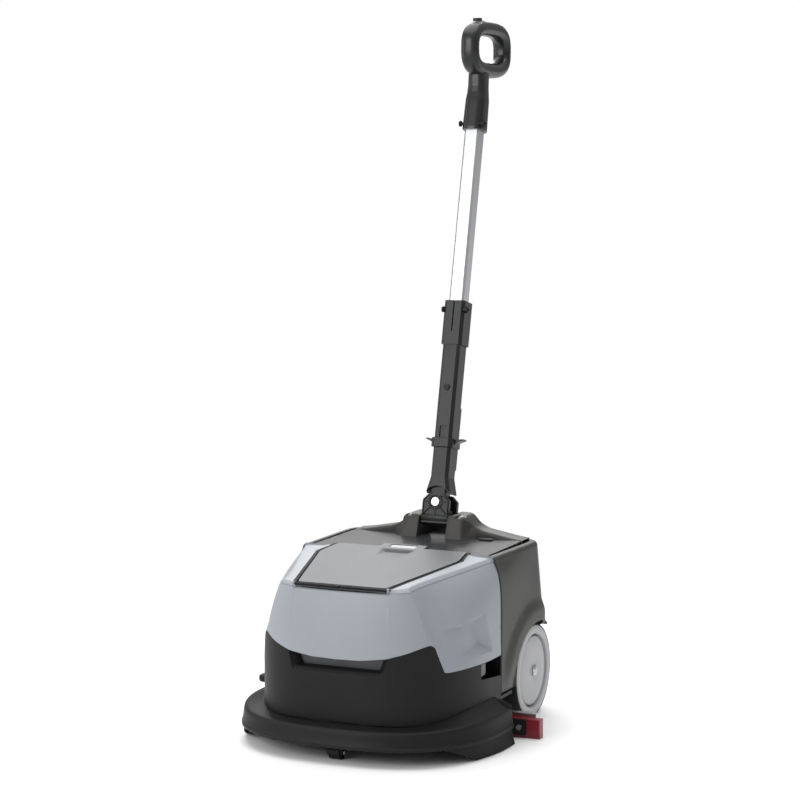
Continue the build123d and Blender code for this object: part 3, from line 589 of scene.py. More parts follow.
# Brush deck
deckShape = {
    "halfWidth": 212.8,
    "halfLength": 209.8,
    "powers": (2.6, 2.6),
    "frontY": -409.8,
    "rearY": -176.0,
    "edgeZ": (55.0, 60.0),
    "ledgeZ": (57.0, 73.0),
    "wall": 4.0,
    # inset, height, and whether the height counts from the deck's edge or from the floor
    "profile": ((0.0, 26.0, 0), (-0.9, 26.6, 0), (-1.1, 28.0, 0), (-1.1, 31.0, 0), (-0.2, 31.6, 0),
                (0.3, 32.4, 0), (2.2, -9.0, 1), (3.0, -4.5, 1), (4.0, -2.2, 1), (5.6, -0.8, 1),
                (8.0, 0.0, 1)),
}


def buildDeck():
    # bell: rim bead, leaning wall, rounded edge, then a ledge that climbs towards the rear to meet the body
    centreY = deckShape["frontY"] + deckShape["halfLength"]
    curve = halfOutline(deckShape["halfWidth"], deckShape["halfLength"], deckShape["powers"], centreY,
                        deckShape["rearY"])
    length = arcLength(curve)
    stations = spreadStations([0, length[-2] - 14, length[-2] + 14, length[-1]], (110, 12, 40))
    plan = np.mean([alongCurve(curve, stations + d) for d in np.linspace(-5, 5, 7)], 0)
    plan[0, 0] = 0
    plan[-1] = (0, deckShape["rearY"])
    inward = inwardNormals(plan)
    inward[0] = (0, 1)
    back = smoothStep((plan[:, 1] + 400) / 150)
    edgeZ = deckShape["edgeZ"][0] + (deckShape["edgeZ"][1] - deckShape["edgeZ"][0]) * back
    ledgeZ = deckShape["ledgeZ"][0] + (deckShape["ledgeZ"][1] - deckShape["ledgeZ"][0]) * back
    foot = halfOutline(bodyShape["halfWidth"] + 1, bodyShape["halfLength"] + 1, bodyShape["powers"],
                       bodyShape["centreY"], deckShape["rearY"] - 5)
    footLength = arcLength(foot)
    footStations = np.interp(stations, [0, length[-2], length[-1]], [0, footLength[-2], footLength[-1]])
    body = alongCurve(foot, footStations)
    rows = []
    for inset, level, fromEdge in deckShape["profile"]:
        rows.append(raised(plan + inward * inset, edgeZ + level if fromEdge else np.full(len(plan), level)))
    last = rows[-1]
    for q in (0.25, 0.5, 0.75, 0.95, 1.0):
        flat = last[:, :2] + (body - last[:, :2]) * q
        height = last[:, 2] + (ledgeZ - last[:, 2]) * q
        rows.append(raised(flat, height))
    lower = rows[-1].copy()
    lower[:, :2] += inwardNormals(body) * 4
    lower[:, 2] -= 1
    rows.append(lower)
    makePiece("brushDeck", [ringPatch(np.array(rows))], "chassis", "body_black",
              ("brush_deck", "deck_edge_strip"), thickness=deckShape["wall"], sharp=40, evenWall=False)


buildDeck()

skirtShape = {
    "yFront": -352.0,
    "yFloor": -296.0,
    "yRear": -178.0,
    "top": 30.0,
    "floor": 1.2,
    "flare": 5.0,
    "thickness": 3.0,
}


def buildSkirts():
    # curved rubber fin under each rear corner; its foot flares outward and its wing thins away forward
    centreY = deckShape["frontY"] + deckShape["halfLength"]
    y = np.linspace(skirtShape["yFront"], skirtShape["yRear"], 60)
    v = np.clip((centreY - y) / deckShape["halfLength"], 0, 1)
    x = deckShape["halfWidth"] * (1 - v ** 2.6) ** (1 / 2.6) - 2.5
    t = np.linspace(0, 1, 12)[:, None]
    foot = np.interp(y, [skirtShape["yFront"], skirtShape["yFloor"]], [26.0, skirtShape["floor"]])
    z = skirtShape["top"] + (foot - skirtShape["top"]) * t
    flare = skirtShape["flare"] * t ** 2 * smoothStep((y - skirtShape["yFloor"]) / 90)
    normal = np.stack([np.gradient(y), -np.gradient(x)])
    normal /= np.hypot(*normal)
    points = np.stack([x + normal[0] * flare, y + normal[1] * flare + 0 * t, z], -1)
    faces = gridFaces(12, 60, False)
    names = {1: "right", -1: "left"}
    for side in (1, -1):
        skirt = points * np.array([side, 1, 1])
        makePiece("skirt_" + names[side], [(skirt, faces[:, ::-side])], "chassis", "skirt_rubber",
                  ("splash_skirt_" + names[side],), thickness=skirtShape["thickness"])


buildSkirts()
print("deck and skirts done")

# Lid
lidShape = {
    "front": 4.6,
    "corner": (121.0, 174.0),
    "rear": (113.0, 227.0),
    "frontHalf": 74.8,
    "tabHalf": 38.0,
    "tabRear": 244.5,
    "slot": (22.5, 224.5, 241.5),
    "thickness": 4.0,
    "wedge": ((-30, 214), (30, 214), (19, 164), (-19, 164)),
    "wedgeSlopes": (1.6, 0.55, 0.10, 0.55),
}


def slopePoints(x, along, above):
    # a point on the sloping top: across, up the slope, and square to it
    angle = math.atan(bodyShape["topRise"])
    y = bodyShape["topFrontY"] + along * math.cos(angle) - above * math.sin(angle)
    z = bodyShape["topFrontZ"] + along * math.sin(angle) + above * math.cos(angle)
    return np.stack(np.broadcast_arrays(x, y, z), -1).astype(float)


def buildLid():
    # one grid: columns stay put over the tab and stretch to the slanted sides; faces are left out at the slot
    tabHalf, slotHalf = lidShape["tabHalf"], lidShape["slot"][0]
    inner = np.unique(np.concatenate([np.linspace(0, slotHalf, 12), np.linspace(slotHalf, tabHalf, 8)]))
    outer = np.linspace(0, 1, 40)[1:]
    rows = np.unique(np.concatenate([np.linspace(lidShape["front"], 10, 7), np.linspace(10, 224.5, 96),
                                     [227.0], np.linspace(227, 241.5, 8),
                                     np.linspace(241.5, lidShape["tabRear"], 5)]))
    front, (cornerX, cornerV), (rearX, rearV) = lidShape["front"], lidShape["corner"], lidShape["rear"]
    width = np.mean([np.interp(np.clip(rows + d, front, rearV), [front, cornerV, rearV],
                               [lidShape["frontHalf"], cornerX, rearX]) for d in np.linspace(-6, 6, 9)], 0)
    width -= 5 * np.clip(1 - (rows - front) / 5, 0, 1) ** 2
    width -= 4 * np.clip(1 - (rearV - rows) / 5, 0, 1) ** 2
    x = np.concatenate([np.repeat(inner[None], len(rows), 0),
                        tabHalf + (width[:, None] - tabHalf) * outer[None]], 1)
    x = np.concatenate([-x[:, :0:-1], x], 1)
    v = np.repeat(rows[:, None], x.shape[1], 1)
    wedge = np.array(lidShape["wedge"], float)
    depth = np.full(x.shape, 1e9)
    for k in range(4):
        start, end = wedge[k], wedge[(k + 1) % 4]
        along = (end - start) / np.hypot(*(end - start))
        inside = along[1] * (x - start[0]) - along[0] * (v - start[1])
        depth = np.minimum(depth, lidShape["wedgeSlopes"][k] * inside)
    points = slopePoints(x, v, 0.8 - np.clip(depth, 0, None))
    faces = gridFaces(*x.shape, False)
    middle = np.array([x.reshape(-1)[faces].mean(1), v.reshape(-1)[faces].mean(1)])
    slotFront, slotRear = lidShape["slot"][1:]
    inSlot = (abs(middle[0]) < slotHalf) & (middle[1] > slotFront) & (middle[1] < slotRear)
    offTab = (abs(middle[0]) > tabHalf) & (middle[1] > rearV)
    makePiece("tankLid", [(points, faces[~inSlot & ~offTab])], "lid", "lid_grey", ("tank_lid",),
              thickness=lidShape["thickness"], bevel=0.7, sharp=38)
    # hinge roll under the front edge
    angle = np.linspace(0, 2 * math.pi, 20, endpoint=False)
    across = np.linspace(-75, 75, 12)[:, None]
    roll = slopePoints(across, 3.4 + 2.6 * np.cos(angle), -5.2 + 2.4 * np.sin(angle))
    caps = [list(range(20)), list(range(11 * 20 + 19, 11 * 20 - 1, -1))]
    faces = gridFaces(12, 20, True)[:, ::-1].tolist()
    makePiece("lidHingeRoll", [(roll, faces + caps)], "lid", "lid_grey", ())


buildLid()

gasketShape = {
    "side": ((0, 1.0), (77, 1.0), (81.5, 4.5), (126, 172), (126.5, 178), (117, 228)),
    "half": (3.6, 2.2),
    "middle": -1.8,
}


def buildGasket():
    # rubber lip round the lid: a rounded strip lying in the tank's pocket, open at the rear; its black band
    # just outside the lid's edge is partly the real seal and partly painted shade for the lid's side face
    path = np.array(gasketShape["side"], float)
    s = arcLength(path)
    stations = np.linspace(0, s[-1], 120)
    centre = np.mean([alongCurve(path, stations + d) for d in np.linspace(-3, 3, 5)], 0)
    centre[0] = (0, 1.5)
    tangent = np.gradient(centre, axis=0)
    tangent /= np.hypot(*tangent.T)[:, None]
    normal = np.stack([tangent[:, 1], -tangent[:, 0]], 1)
    angle = np.linspace(0, 2 * math.pi, 10, endpoint=False)
    across = gasketShape["half"][0] * np.cos(angle)
    up = gasketShape["middle"] + gasketShape["half"][1] * np.sin(angle)
    x = centre[:, 0, None] + normal[:, 0, None] * across
    v = centre[:, 1, None] + normal[:, 1, None] * across
    half = slopePoints(x, v, up)
    full = np.concatenate([half[:0:-1] * np.array([-1, 1, 1]), half])
    mirrored = full.copy()
    mirrored[:119] = mirrored[:119][:, (5 - np.arange(10)) % 10]
    faces = gridFaces(len(full), 10, True)
    caps = [list(range(10)), list(range(len(full) * 10 - 1, len(full) * 10 - 11, -1))]
    # real seal, but its black band past the lid edge also paints the shade on the lid's side face
    makePiece("lidGasket", [(mirrored, faces.tolist() + caps)], "tank", "seal_rubber", ("lid_seal",))


buildGasket()
print("lid done")

# Rear housing
housingShape = {
    "front": -152.0,
    "foot": 72.0,
    "halfWidth": 181.0,
    "rear": 60.0,
    "corner": 40.0,
    "frontLean": (16.0, 165.0, 125.0, 4.5),
    "rearLean": 7.0,
    "archRadius": 84.0,
    "archFront": 102.0,
    "archCentre": 77.6,
    "archX": 138.0,
    "flare": (5.0, 98.0, 124.0),
    "topZ": 288.5,
    "topRadius": 8.0,
    "rimWidth": 13.0,
    "recess": 5.0,
    "ridge": (8.0, 45.0),
    "crest": ((26, 326), (50, 325.5), (57, 318), (64, 310), (72, 305.5), (82, 301.5), (110, 296.5),
              (131, 292.5), (150, 290)),
    "notch": (39.9, 49.1, -2, 322),
    "webY": (-20.0, -20.0, 40.0, 42.0, 43.0, 44.5, 45.0, 45.0),
    "webZ": (280.0, 288.0, 288.0, 290.0, 300.0, 300.5, 299.5, 280.0),
    "wall": 3.0,
    "tower": (26.0, -9.0, -22.0),
}


def housingPlan(z, side, turn, across):
    # plan of the wall at a height: side run, rounded corner, then the rear run to the middle
    amount, start, span, power = housingShape["frontLean"]
    frontInset = amount * np.clip((z - start) / span, 0, 1.1) ** power
    rearInset = housingShape["rearLean"] * np.clip((z - 180) / 95, 0, 1.2)
    width = housingShape["halfWidth"] - rearInset
    rear = housingShape["rear"] - rearInset
    corner = housingShape["corner"] - rearInset * 0.5
    sideY = housingShape["front"] + (rear - corner - housingShape["front"]) * side
    blend = smoothStep((sideY - housingShape["front"]) / 150)
    sideX = housingShape["halfWidth"] - frontInset * (1 - blend) - rearInset * blend
    bend = turn * math.pi / 2
    x = np.where(turn <= 0, sideX, width - corner + corner * np.cos(bend)) - (width - corner) * across
    return x, np.where(turn <= 0, sideY, rear - corner + corner * np.sin(bend))


def buildHousing():
    # columns run back along the side, round the corner and to the middle; each foot follows the wheel arch
    radius, wheelZ = housingShape["archRadius"], housingShape["archCentre"]
    reach = housingShape["rear"] - housingShape["corner"]
    ahead = housingShape["archFront"]
    front = housingShape["front"]
    stops = np.concatenate([np.linspace(front, -ahead, 14), -ahead * np.cos(np.linspace(0.02, 1.5, 36)),
                            np.linspace(0, reach, 8)])
    side = (stops - front) / (reach - front)
    bends = np.linspace(0, 1, 16)[1:]
    rearShare = np.concatenate([[0.022, 0.026], np.linspace(0.05, 1, 24)])
    side = np.concatenate([side, np.ones(15 + 26)])
    turn = np.concatenate([np.zeros(len(stops)), bends, np.ones(26)])
    across = np.concatenate([np.zeros(len(stops) + 15), rearShare])
    planX, planY = housingPlan(180.0, side, turn, across)
    overWheel = (planX > housingShape["archX"] - 0.4) & (planY > -ahead)
    stretched = np.where(planY < 0, planY * radius / ahead, planY)
    low = housingShape["foot"]
    foot = np.where(overWheel, wheelZ + np.sqrt(np.clip(radius ** 2 - stretched ** 2, 0, None)), low)
    t = np.linspace(0, 1, 44)[:, None]
    shoulder = housingShape["topZ"] - housingShape["topRadius"]
    z = np.maximum(foot, low) + (shoulder - np.maximum(foot, low)) * t
    x, y = housingPlan(z, side, turn, across)
    outward = -inwardNormals(np.stack([planX, planY], 1))
    outward[-1] = (0, 1)
    proud, near, far = housingShape["flare"]
    fromWheel = np.hypot(np.where(y < 0, y * radius / ahead, y), z - wheelZ)
    lift = proud * (1 - smoothStep((fromWheel - near) / (far - near)))
    lift = lift * smoothStep((x - 120) / 20) * smoothStep((z - 66) / 50)
    rows = [pointGrid(x + outward[:, 0] * lift, y + outward[:, 1] * lift, z)]
    top = rows[0][-1]
    rimIn = outward.copy()
    rimIn[0] = (1, 0)
    ball = housingShape["topRadius"]
    steps = [(ball * (1 - math.cos(a)), ball * math.sin(a)) for a in np.linspace(0, math.pi / 2, 7)[1:]]
    width = housingShape["rimWidth"]
    steps += [(width - 0.6, ball), (width, ball - 0.6), (width, ball - housingShape["recess"]),
              (width + 30, ball - housingShape["recess"])]
    for inset, rise in steps:
        rows.append(raised(top[:, :2] - rimIn * inset, top[:, 2] + rise)[None])
    half = np.concatenate(rows)
    strip = np.concatenate([half, half[:, -2::-1] * np.array([-1, 1, 1])], 1)
    patches = [(strip, gridFaces(strip.shape[0], strip.shape[1], False))]
    # wheel well: inner wall and roof, open below
    angle = np.linspace(0.88, math.pi + 0.09, 48)[None]
    wellRadius = np.array([14.0, 86.0, 87.0, 87.0])[:, None]
    wellX = np.array([138.0, 138.0, 139.0, 179.0])[:, None]
    for sign in (1, -1):
        well = pointGrid(sign * wellX, wellRadius * np.cos(angle), wheelZ + wellRadius * np.sin(angle))
        patches.append((well, gridFaces(4, 48, False)[:, ::-sign]))
    makePiece("rearHousing", patches, "chassis", "housing_black", ("rear_housing",),
              thickness=housingShape["wall"], sharp=40, evenWall=False)


def buildRidge():
    # height over each X is the crest line, its corners softened; the towers' feet slope forward
    ridgeFront, ridgeRear = housingShape["ridge"]
    towerInner, towerTop, towerFoot = housingShape["tower"]
    across = np.concatenate([[26.0, 27.0, 29.0], np.linspace(32, 39.8, 5), [40.0], np.linspace(42, 47, 3),
                             [49.0, 49.2], np.linspace(51, 152, 70)])
    crest = np.array(housingShape["crest"])
    rise = np.mean([np.interp(across + d, crest[:, 0], crest[:, 1]) for d in np.linspace(-5, 5, 9)], 0)
    rise = rise - 2.5 * (1 - smoothStep((across - towerInner) / 4))
    footY = ridgeFront - (ridgeFront - towerFoot) * (1 - smoothStep((across - 56) / 22))
    topY = ridgeFront - (ridgeFront - towerTop) * (1 - smoothStep((across - 53) / 10))
    share = np.linspace(0, 1, 6)[:, None]
    frontFace = pointGrid(across, footY + (topY - footY) * share, 284 + (rise - 5 - 284) * share)
    turn = np.linspace(0, math.pi / 2, 6)[1:, None]
    frontCurve = pointGrid(across, topY + 5 * (1 - np.cos(turn)), rise - 5 + 5 * np.sin(turn))
    backCurve = pointGrid(across, ridgeRear - 5 * np.cos(turn[::-1]), rise - 5 + 5 * np.sin(turn[::-1]))
    backFace = pointGrid(across, ridgeRear, 276.0)[None]
    middle = pointGrid(across, (topY + ridgeRear) / 2, rise)[None]
    ridge = np.concatenate([frontFace, frontCurve, middle, backCurve, backFace])
    notchIn, notchOut, notchRear, notchZ = housingShape["notch"]
    inNotch = (ridge[..., 0] > notchIn) & (ridge[..., 0] < notchOut) & (ridge[..., 1] < notchRear)
    ridge[..., 2] = np.where(inNotch, np.minimum(ridge[..., 2], notchZ), ridge[..., 2])
    faces = gridFaces(ridge.shape[0], len(across), False)
    ends = [[k * len(across) for k in range(ridge.shape[0])][::-1]]
    patches = [(ridge, faces.tolist() + ends)]
    patches.append((ridge * np.array([-1, 1, 1]), [face[::-1] for face in faces.tolist() + ends]))
    # floor and low rear web between the towers
    web = pointGrid(np.linspace(-34, 34, 12), np.array(housingShape["webY"])[:, None],
                    np.array(housingShape["webZ"])[:, None])
    patches.append((web, gridFaces(8, 12, False)))
    makePiece("towerRidge", patches, "chassis", "housing_black", (), sharp=35)


buildHousing()
buildRidge()

coverShape = {
    "notch": (40.0, -112.5),
    "lidEdge": -131.5,
    "wing": (118.7, -145.5),
    "half": 151.8,
    "rear": 12.0,
    "corner": 16.0,
    "topZ": (288.0, 289.6),
    "thickness": 3.0,
}


def buildCover():
    # lid-side edge steps back for the tab and forward for the wings; outer rear corners are rounded
    notchX, notchY = coverShape["notch"]
    wingX, wingY = coverShape["wing"]
    half, rear = coverShape["half"], coverShape["rear"]
    corner = coverShape["corner"]
    x = np.concatenate([np.linspace(0, notchX, 14), np.linspace(notchX + 0.4, wingX, 26),
                        np.linspace(wingX + 0.4, 136, 8),
                        half - corner + corner * np.sin(np.linspace(0.05, math.pi / 2, 12))])
    front = np.where(x <= notchX, notchY, np.where(x <= wingX, coverShape["lidEdge"], wingY))
    past = np.clip(x - (half - corner), 0, None)
    bend = corner - np.sqrt(np.clip(corner ** 2 - past ** 2, 0, None))
    front = front + bend * 0.3
    back = rear - bend
    x = np.concatenate([-x[:0:-1], x])
    front = np.concatenate([front[:0:-1], front])
    back = np.concatenate([back[:0:-1], back])
    t = np.linspace(0, 1, 30)[:, None]
    y = front + (back - front) * t
    z = np.interp(y, [wingY, rear], coverShape["topZ"])
    makePiece("rearCover", [(pointGrid(x, y, z), gridFaces(30, len(x), False))], "chassis", "cover_black",
              ("rear_cover", "housing_screws"), thickness=coverShape["thickness"], bevel=0.8, sharp=40)


buildCover()
print("rear housing and cover done")

# Grip: a rounded ring on a hollow stem
lean = math.radians(13.0)
mastOrigin = np.array([0.0, 22.0, 342.0])
mastUp = np.array([0.0, math.sin(lean), math.cos(lean)])
mastBack = np.array([0.0, math.cos(lean), -math.sin(lean)])


def mastPoints(x, t, s):  # across, rearward and up the leaning mast
    x, t, s = np.broadcast_arrays(x, t, s)
    return mastOrigin + x[..., None] * np.array([1.0, 0, 0]) + t[..., None] * mastBack + s[..., None] * mastUp


gripShape = {
    "centre": (216.5, 1101.5),
    "outer": (82.0, 48.5),
    "hole": (62.0, 22.5),
    "power": 3.0,
    "halfWidth": 15.5,
    "sectionPower": 2.7,
    # height up the mast, half width, half depth, shift rearward
    "stem": ((636.0, 18.3, 19.8, 0.0), (638.0, 18.6, 20.1, 0.0), (690.0, 17.6, 19.0, 0.0),
             (700.0, 16.6, 17.6, 0.0), (712.0, 15.6, 17.0, -1.0), (726.0, 15.2, 18.0, -3.0),
             (740.0, 14.6, 19.0, -4.0)),
    "stemPower": 3.6,
    "mouth": ((14.2, 636.0), (14.0, 660.0)),
    "web": ((176.0, 1040.0), (196.0, 1066.0)),
    "webPower": 2.6,
    "buttonTravel": 4.5,
    "buttonRoom": 2.2,
}


def ringReach(outer, hole, outward):  # reach from the centre: mean oval plus the section's share
    return [(outer[k] + hole[k]) / 2 + (outer[k] - hole[k]) / 2 * outward for k in (0, 1)]


def buildGrip():
    # ring: mean of outer and hole outlines, with a rounded-square section spanning between them
    ringAngle = np.linspace(0, 2 * math.pi, 96, endpoint=False)[:, None]
    sectionAngle = np.linspace(0, 2 * math.pi, 28, endpoint=False)[None]
    cy, cz = powerCircle(ringAngle, gripShape["power"])
    sy, sx = powerCircle(sectionAngle, gripShape["sectionPower"])
    reach = ringReach(gripShape["outer"], gripShape["hole"], sy)
    centreY, centreZ = gripShape["centre"]
    ring = pointGrid(gripShape["halfWidth"] * sx, centreY + cy * reach[0], centreZ + cz * reach[1])
    low, high = nodeBox("start_button")  # hollow in the ring's top that lets the button sink
    middle, room = (low + high) / 2, (high - low) / 2 + gripShape["buttonRoom"]
    inHollow = (np.abs(ring - middle) < room)[..., :2].all(-1) & (ring[..., 2] > low[2] - 8)
    sunk = np.minimum(ring[..., 2], low[2] - gripShape["buttonTravel"])
    ring[..., 2] = np.where(inHollow, sunk, ring[..., 2])
    patches = [(np.concatenate([ring, ring[:1]]), gridFaces(97, 28, True))]
    sections = np.array(gripShape["stem"])
    s = np.interp(np.linspace(0, 1, 40), np.linspace(0, 1, len(sections)), sections[:, 0])
    halfX, halfT, shift = (np.interp(s, sections[:, 0], sections[:, k])[:, None] for k in (1, 2, 3))
    stemAngle = np.linspace(0, 2 * math.pi, 32, endpoint=False)[None]
    ux, ut = powerCircle(stemAngle, gripShape["stemPower"])
    stem = mastPoints(halfX * ux, shift + halfT * ut, s[:, None])
    patches.append((stem, gridFaces(40, 32, True)))
    bore = [mastPoints(size * ux, size * ut, np.full((1, 32), up)) for size, up in gripShape["mouth"]]
    patches.append((np.concatenate([stem[:1]] + bore), gridFaces(3, 32, True)[:, ::-1]))
    # web from the stem's back to the ring's underside
    webT = np.linspace(0, 1, 14)[:, None]
    webAngle = np.linspace(0, 2 * math.pi, 20, endpoint=False)[None]
    wx, wy = powerCircle(webAngle, gripShape["webPower"])
    (startY, startZ), (endY, endZ) = gripShape["web"]
    web = pointGrid((9 + 3 * webT) * wx, startY + (endY - startY) * webT + (7 + 13 * webT ** 2) * wy,
                    startZ + (endZ - startZ) * webT)
    patches.append((web, gridFaces(14, 20, True)))
    makePiece("gripHandle", patches, "grip", "grip_black", ("grip_handle",), sharp=60)


buildGrip()
print("grip done")

# Wheels
wheelShape = {
    # radius and X; the face from the hub outward, the back from the rim inward, the tyre across its tread
    "disc": ((7.0, 177.6), (9.0, 177.2), (13.5, 176.2), (15.5, 176.6), (20, 177.4), (36, 177.2), (50, 175.8),
             (56, 174.6), (56.8, 173.6), (57.2, 166.0), (60.0, 166.0), (60.4, 174.5), (61.2, 176.8),
             (64, 177.8), (71, 177.8), (74.2, 176.8), (75.2, 174.8)),
    "back": ((75.2, 174.8), (75.2, 148.0), (71.3, 148.0), (62.0, 147.0), (60.0, 160.0), (20.0, 160.0),
             (18.0, 147.0), (7.0, 147.0), (7.0, 177.6)),
    "tyre": ((75.2, 174.8), (75.7, 176.6), (76.4, 176.8), (77.1, 175.8), (77.5, 172.5), (77.6, 161.0),
             (77.5, 149.5), (76.6, 145.6), (75.0, 143.9), (73.0, 143.6), (71.3, 146.0)),
    "nut": ((9.0, 176.5), (9.0, 179.2), (8.0, 180.3), (6.0, 180.9), (3.0, 181.6), (0.05, 181.8)),
    "centreZ": 77.6,
}


def lathe(profile, side, steps=96, lobes=0):
    # profile of (radius, X) turned about the wheel axle; lobes make the radius swing with the angle
    radius, x = np.array(profile, float).T[..., None]
    angle = np.linspace(0, 2 * math.pi, steps, endpoint=False)[None]
    if lobes:
        radius = radius * (1 + 0.10 * np.cos(lobes * angle) * np.clip(radius / 9, 0, 1))
    points = pointGrid(side * x, radius * np.cos(angle), wheelShape["centreZ"] + radius * np.sin(angle))
    return points, gridFaces(len(profile), steps, True)[:, ::-side]


for side, sideName in ((1, "right"), (-1, "left")):
    wheel = "wheel_" + sideName
    discPatches = [lathe(wheelShape["disc"], side), lathe(wheelShape["back"], side)]
    makePiece("wheelDisc_" + sideName, discPatches, wheel, "wheel_grey", ("rim_" + sideName,), sharp=40)
    tyreProfile = wheelShape["tyre"] + (wheelShape["tyre"][0],)
    makePiece("tyre_" + sideName + "_tread", [lathe(tyreProfile, side)], wheel, "tyre_rubber",
              ("tyre_" + sideName,), sharp=50)
    makePiece("starNut_" + sideName, [lathe(wheelShape["nut"], side, 60, 5)], wheel, "steel",
              ("hub_cap_" + sideName,))
print("wheels done")

# Lift lever, yoke ribs, brush tufts
leverShape = {
    "loopCentre": (-203.0, -209.0, 73.3),
    "loopOuter": (15.0, 14.0),
    "loopHole": (7.5, 6.5),
    "loopHalfHeight": 5.7,
    "arm": (-188.2, 2.8, 75.0, 5.0),
    "armEnds": (-200.0, -147.0),
}


def buildLever():
    # finger loop: rounded section swept round the mean of two ovals; arm: rounded bar back to the pivot
    ringAngle = np.linspace(0, 2 * math.pi, 48, endpoint=False)[:, None]
    sectionAngle = np.linspace(0, 2 * math.pi, 16, endpoint=False)[None]
    cx, cy = powerCircle(ringAngle, 3.2)
    outward, upward = powerCircle(sectionAngle, 3.2)
    reach = ringReach(leverShape["loopOuter"], leverShape["loopHole"], outward)
    middle = leverShape["loopCentre"]
    loop = pointGrid(middle[0] + cx * reach[0], middle[1] + cy * reach[1],
                     middle[2] + leverShape["loopHalfHeight"] * upward)
    loop = np.concatenate([loop, loop[:1]])
    barX, halfX, barZ, halfZ = leverShape["arm"]
    start, end = leverShape["armEnds"]
    y = np.array([start, start, start + 1, end - 1, end, end])[:, None]
    full = np.array([0.05, 0.85, 1.0, 1.0, 0.85, 0.05])[:, None]
    ux, uz = powerCircle(sectionAngle, 4.0)
    arm = pointGrid(barX + halfX * full * ux, y, barZ + halfZ * full * uz)
    patches = [(loop, gridFaces(49, 16, True)[:, ::-1]), (arm, gridFaces(6, 16, True))]
    return makePiece("liftLoop", patches, "lift_lever", "body_black", (), sharp=50)


liftLoop = buildLever()
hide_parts("squeegee_lever")


def buildYokeRibs():
    # raised border, ring round the pin and eight spokes on both ears; height = 1.8 mm wherever a rib runs
    x = np.linspace(-22.5, 22.5, 91)[None]
    s = np.linspace(-27, 11.5, 78)[:, None]
    r = np.hypot(x, s)
    spin = np.abs((np.arctan2(s, x) + math.pi / 8) % (math.pi / 4) - math.pi / 8) * r
    border = np.minimum(np.minimum(22.5 - np.abs(x), 11.5 - s), (25.2 - np.abs(x) - s) / 1.414)
    rib = np.maximum(np.maximum(1.2 - np.abs(r - 11.5), 1.0 - spin), 1.6 - border)
    height = np.where(r < 8.0, 0.0, 1.8 * smoothStep(rib / 0.5))
    faces = gridFaces(78, 91, False)
    keep = (border.reshape(-1)[faces] >= -0.3).all(1)
    front = mastPoints(x, -20.1 - height, s)
    rear = mastPoints(x, 23.1 + height, s)
    patches = [(front, faces[keep]), (rear, faces[keep][:, ::-1])]
    makePiece("yokeRibs", patches, "yoke", "mast_black", ())


buildYokeRibs()

tuftShape = {"ringRadii": (40.0, 52.0, 64.0, 76.0, 84.5), "spacing": 7.0, "root": 1.9, "tip": 2.9}


def buildTufts(sideName):
    # tufts stand in rings on the brush plate and splay a little towards the floor
    low, high = nodeBox("bristles_" + sideName)
    middle = (low + high) / 2
    counts = [int(2 * math.pi * r / tuftShape["spacing"]) for r in tuftShape["ringRadii"]]
    radius = np.repeat(tuftShape["ringRadii"], counts)
    turn = np.concatenate([np.arange(n) * 2 * math.pi / n for n in counts])
    angle = np.linspace(0, 2 * math.pi, 8, endpoint=False)[None, None]
    level = np.array([0, 0, 0.5, 1.0, 1.0])[None, :, None]
    root, tip = tuftShape["root"], tuftShape["tip"]
    width = np.array([0.05, 1, 1, 1, 0.05])[None, :, None] * (root + (tip - root) * level)
    lean = radius[:, None, None] + 1.0 * level
    turn = turn[:, None, None]
    points = pointGrid(middle[0] + lean * np.cos(turn) + width * np.cos(angle),
                       middle[1] + lean * np.sin(turn) + width * np.sin(angle),
                       high[2] + (low[2] - high[2]) * level)
    single = gridFaces(5, 8, True)[:, ::-1]
    faces = (single[None] + (np.arange(len(radius)) * 40)[:, None, None]).reshape(-1, 4)
    makePiece("bristleTufts_" + sideName, [(points, faces)], "brush_" + sideName, "bristle_nylon",
              ("bristles_" + sideName,))


for sideName in ("left", "right"):
    buildTufts(sideName)
print("lever, ribs and tufts done")

# Floor, light and camera
floorMesh = bpy.data.meshes.new("studioFloor")
floorMesh.from_pydata([(-30, -30, 0), (30, -30, 0), (30, 30, 0), (-30, 30, 0)], [], [(0, 1, 2, 3)])
floor = bpy.data.objects.new("studioFloor", floorMesh)
bpy.context.scene.collection.objects.link(floor)
floorMaterial, floorTree = newMaterial("white studio paper")
paper = addNode(floorTree, "ShaderNodeBsdfDiffuse", {"Color": linear("#FCFCFC")})
glow = addNode(floorTree, "ShaderNodeEmission", {"Color": (1.0, 1.0, 1.0, 1.0), "Strength": 1.0})
floorPlace = addNode(floorTree, "ShaderNodeTexCoord").outputs["Object"]
span = addNode(floorTree, "ShaderNodeVectorMath", links={0: floorPlace}, operation="LENGTH")
# the paper takes shadows near the machine and turns to even white between 0.45 m and 1.3 m from it
fade = addNode(floorTree, "ShaderNodeMapRange", {"From Min": 0.45, "From Max": 1.3},
               {"Value": span.outputs["Value"]})
sweep = addNode(floorTree, "ShaderNodeMixShader",
                links={0: fade.outputs["Result"], 1: paper.outputs[0], 2: glow.outputs[0]})
addNode(floorTree, "ShaderNodeOutputMaterial", links={"Surface": sweep.outputs[0]})
floorMesh.materials.append(floorMaterial)

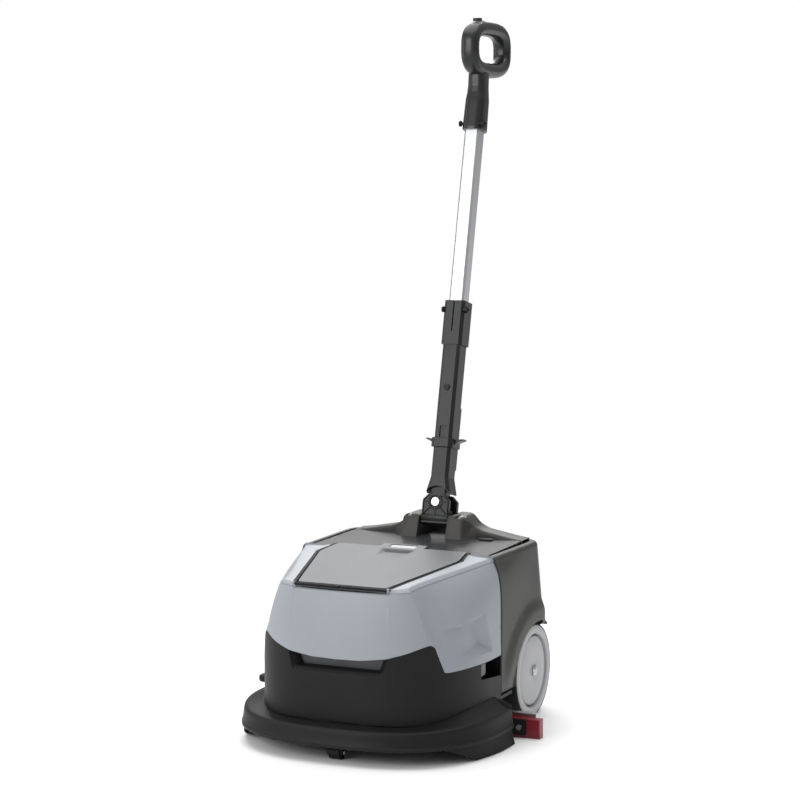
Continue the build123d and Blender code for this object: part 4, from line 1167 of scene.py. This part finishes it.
world = bpy.data.worlds.new("studioWorld")  # white tent: bright above, half as bright at eye level
bpy.context.scene.world = world
world.use_nodes = True
worldTree = world.node_tree
worldTree.nodes.clear()
skyAxes = addNode(worldTree, "ShaderNodeSeparateXYZ",
                  links={"Vector": addNode(worldTree, "ShaderNodeTexCoord").outputs["Generated"]})
skyLevel = addNode(worldTree, "ShaderNodeMapRange", {"From Max": 0.9, "To Min": 0.24, "To Max": 0.85},
                   {"Value": skyAxes.outputs["Z"]})
seen = addNode(worldTree, "ShaderNodeLightPath").outputs["Is Camera Ray"]
level = addNode(worldTree, "ShaderNodeMix", {"B": 1.0}, {"Factor": seen, "A": skyLevel.outputs["Result"]})
backdrop = addNode(worldTree, "ShaderNodeBackground", {"Color": (1.0, 1.0, 1.0, 1.0)},
                   {"Strength": level.outputs["Result"]})
addNode(worldTree, "ShaderNodeOutputWorld", links={"Surface": backdrop.outputs[0]})


def areaLight(name, place, target, size, power):
    data = bpy.data.lights.new(name, "AREA")
    data.shape = "RECTANGLE"
    data.size, data.size_y = size
    data.energy = power
    light = bpy.data.objects.new(name, data)
    bpy.context.scene.collection.objects.link(light)
    light.location = place
    direction = np.array(target) - np.array(place)
    yaw = math.atan2(direction[1], direction[0]) - math.pi / 2
    pitch = math.atan2(direction[2], math.hypot(direction[0], direction[1]))
    light.rotation_euler = (math.pi / 2 + pitch, 0, yaw)


areaLight("overheadSoftbox", (-0.3, 0.2, 2.8), (0, -0.1, 0.2), (2.6, 2.6), 44)
areaLight("rearSoftbox", (-1.0, 2.2, 1.9), (0, 0, 0.4), (1.8, 1.6), 30)
areaLight("leftStrip", (-2.6, -1.0, 1.2), (0, -0.1, 0.4), (0.8, 1.8), 12)
areaLight("frontKey", (-1.2, -3.2, 1.7), (0, -0.1, 0.3), (1.4, 1.4), 40)

camera = bpy.data.objects.new("studioCamera", bpy.data.cameras.new("studioCamera"))
bpy.context.scene.collection.objects.link(camera)
camera.location = (1.47056, axleY - 3.36083, 0.88237)
camera.rotation_euler = (math.radians(90 - 5.694), 0, math.radians(24.545))
camera.data.lens = 100.21
camera.data.sensor_width = 36
bpy.context.scene.camera = camera
bpy.context.scene.view_settings.view_transform = "Standard"
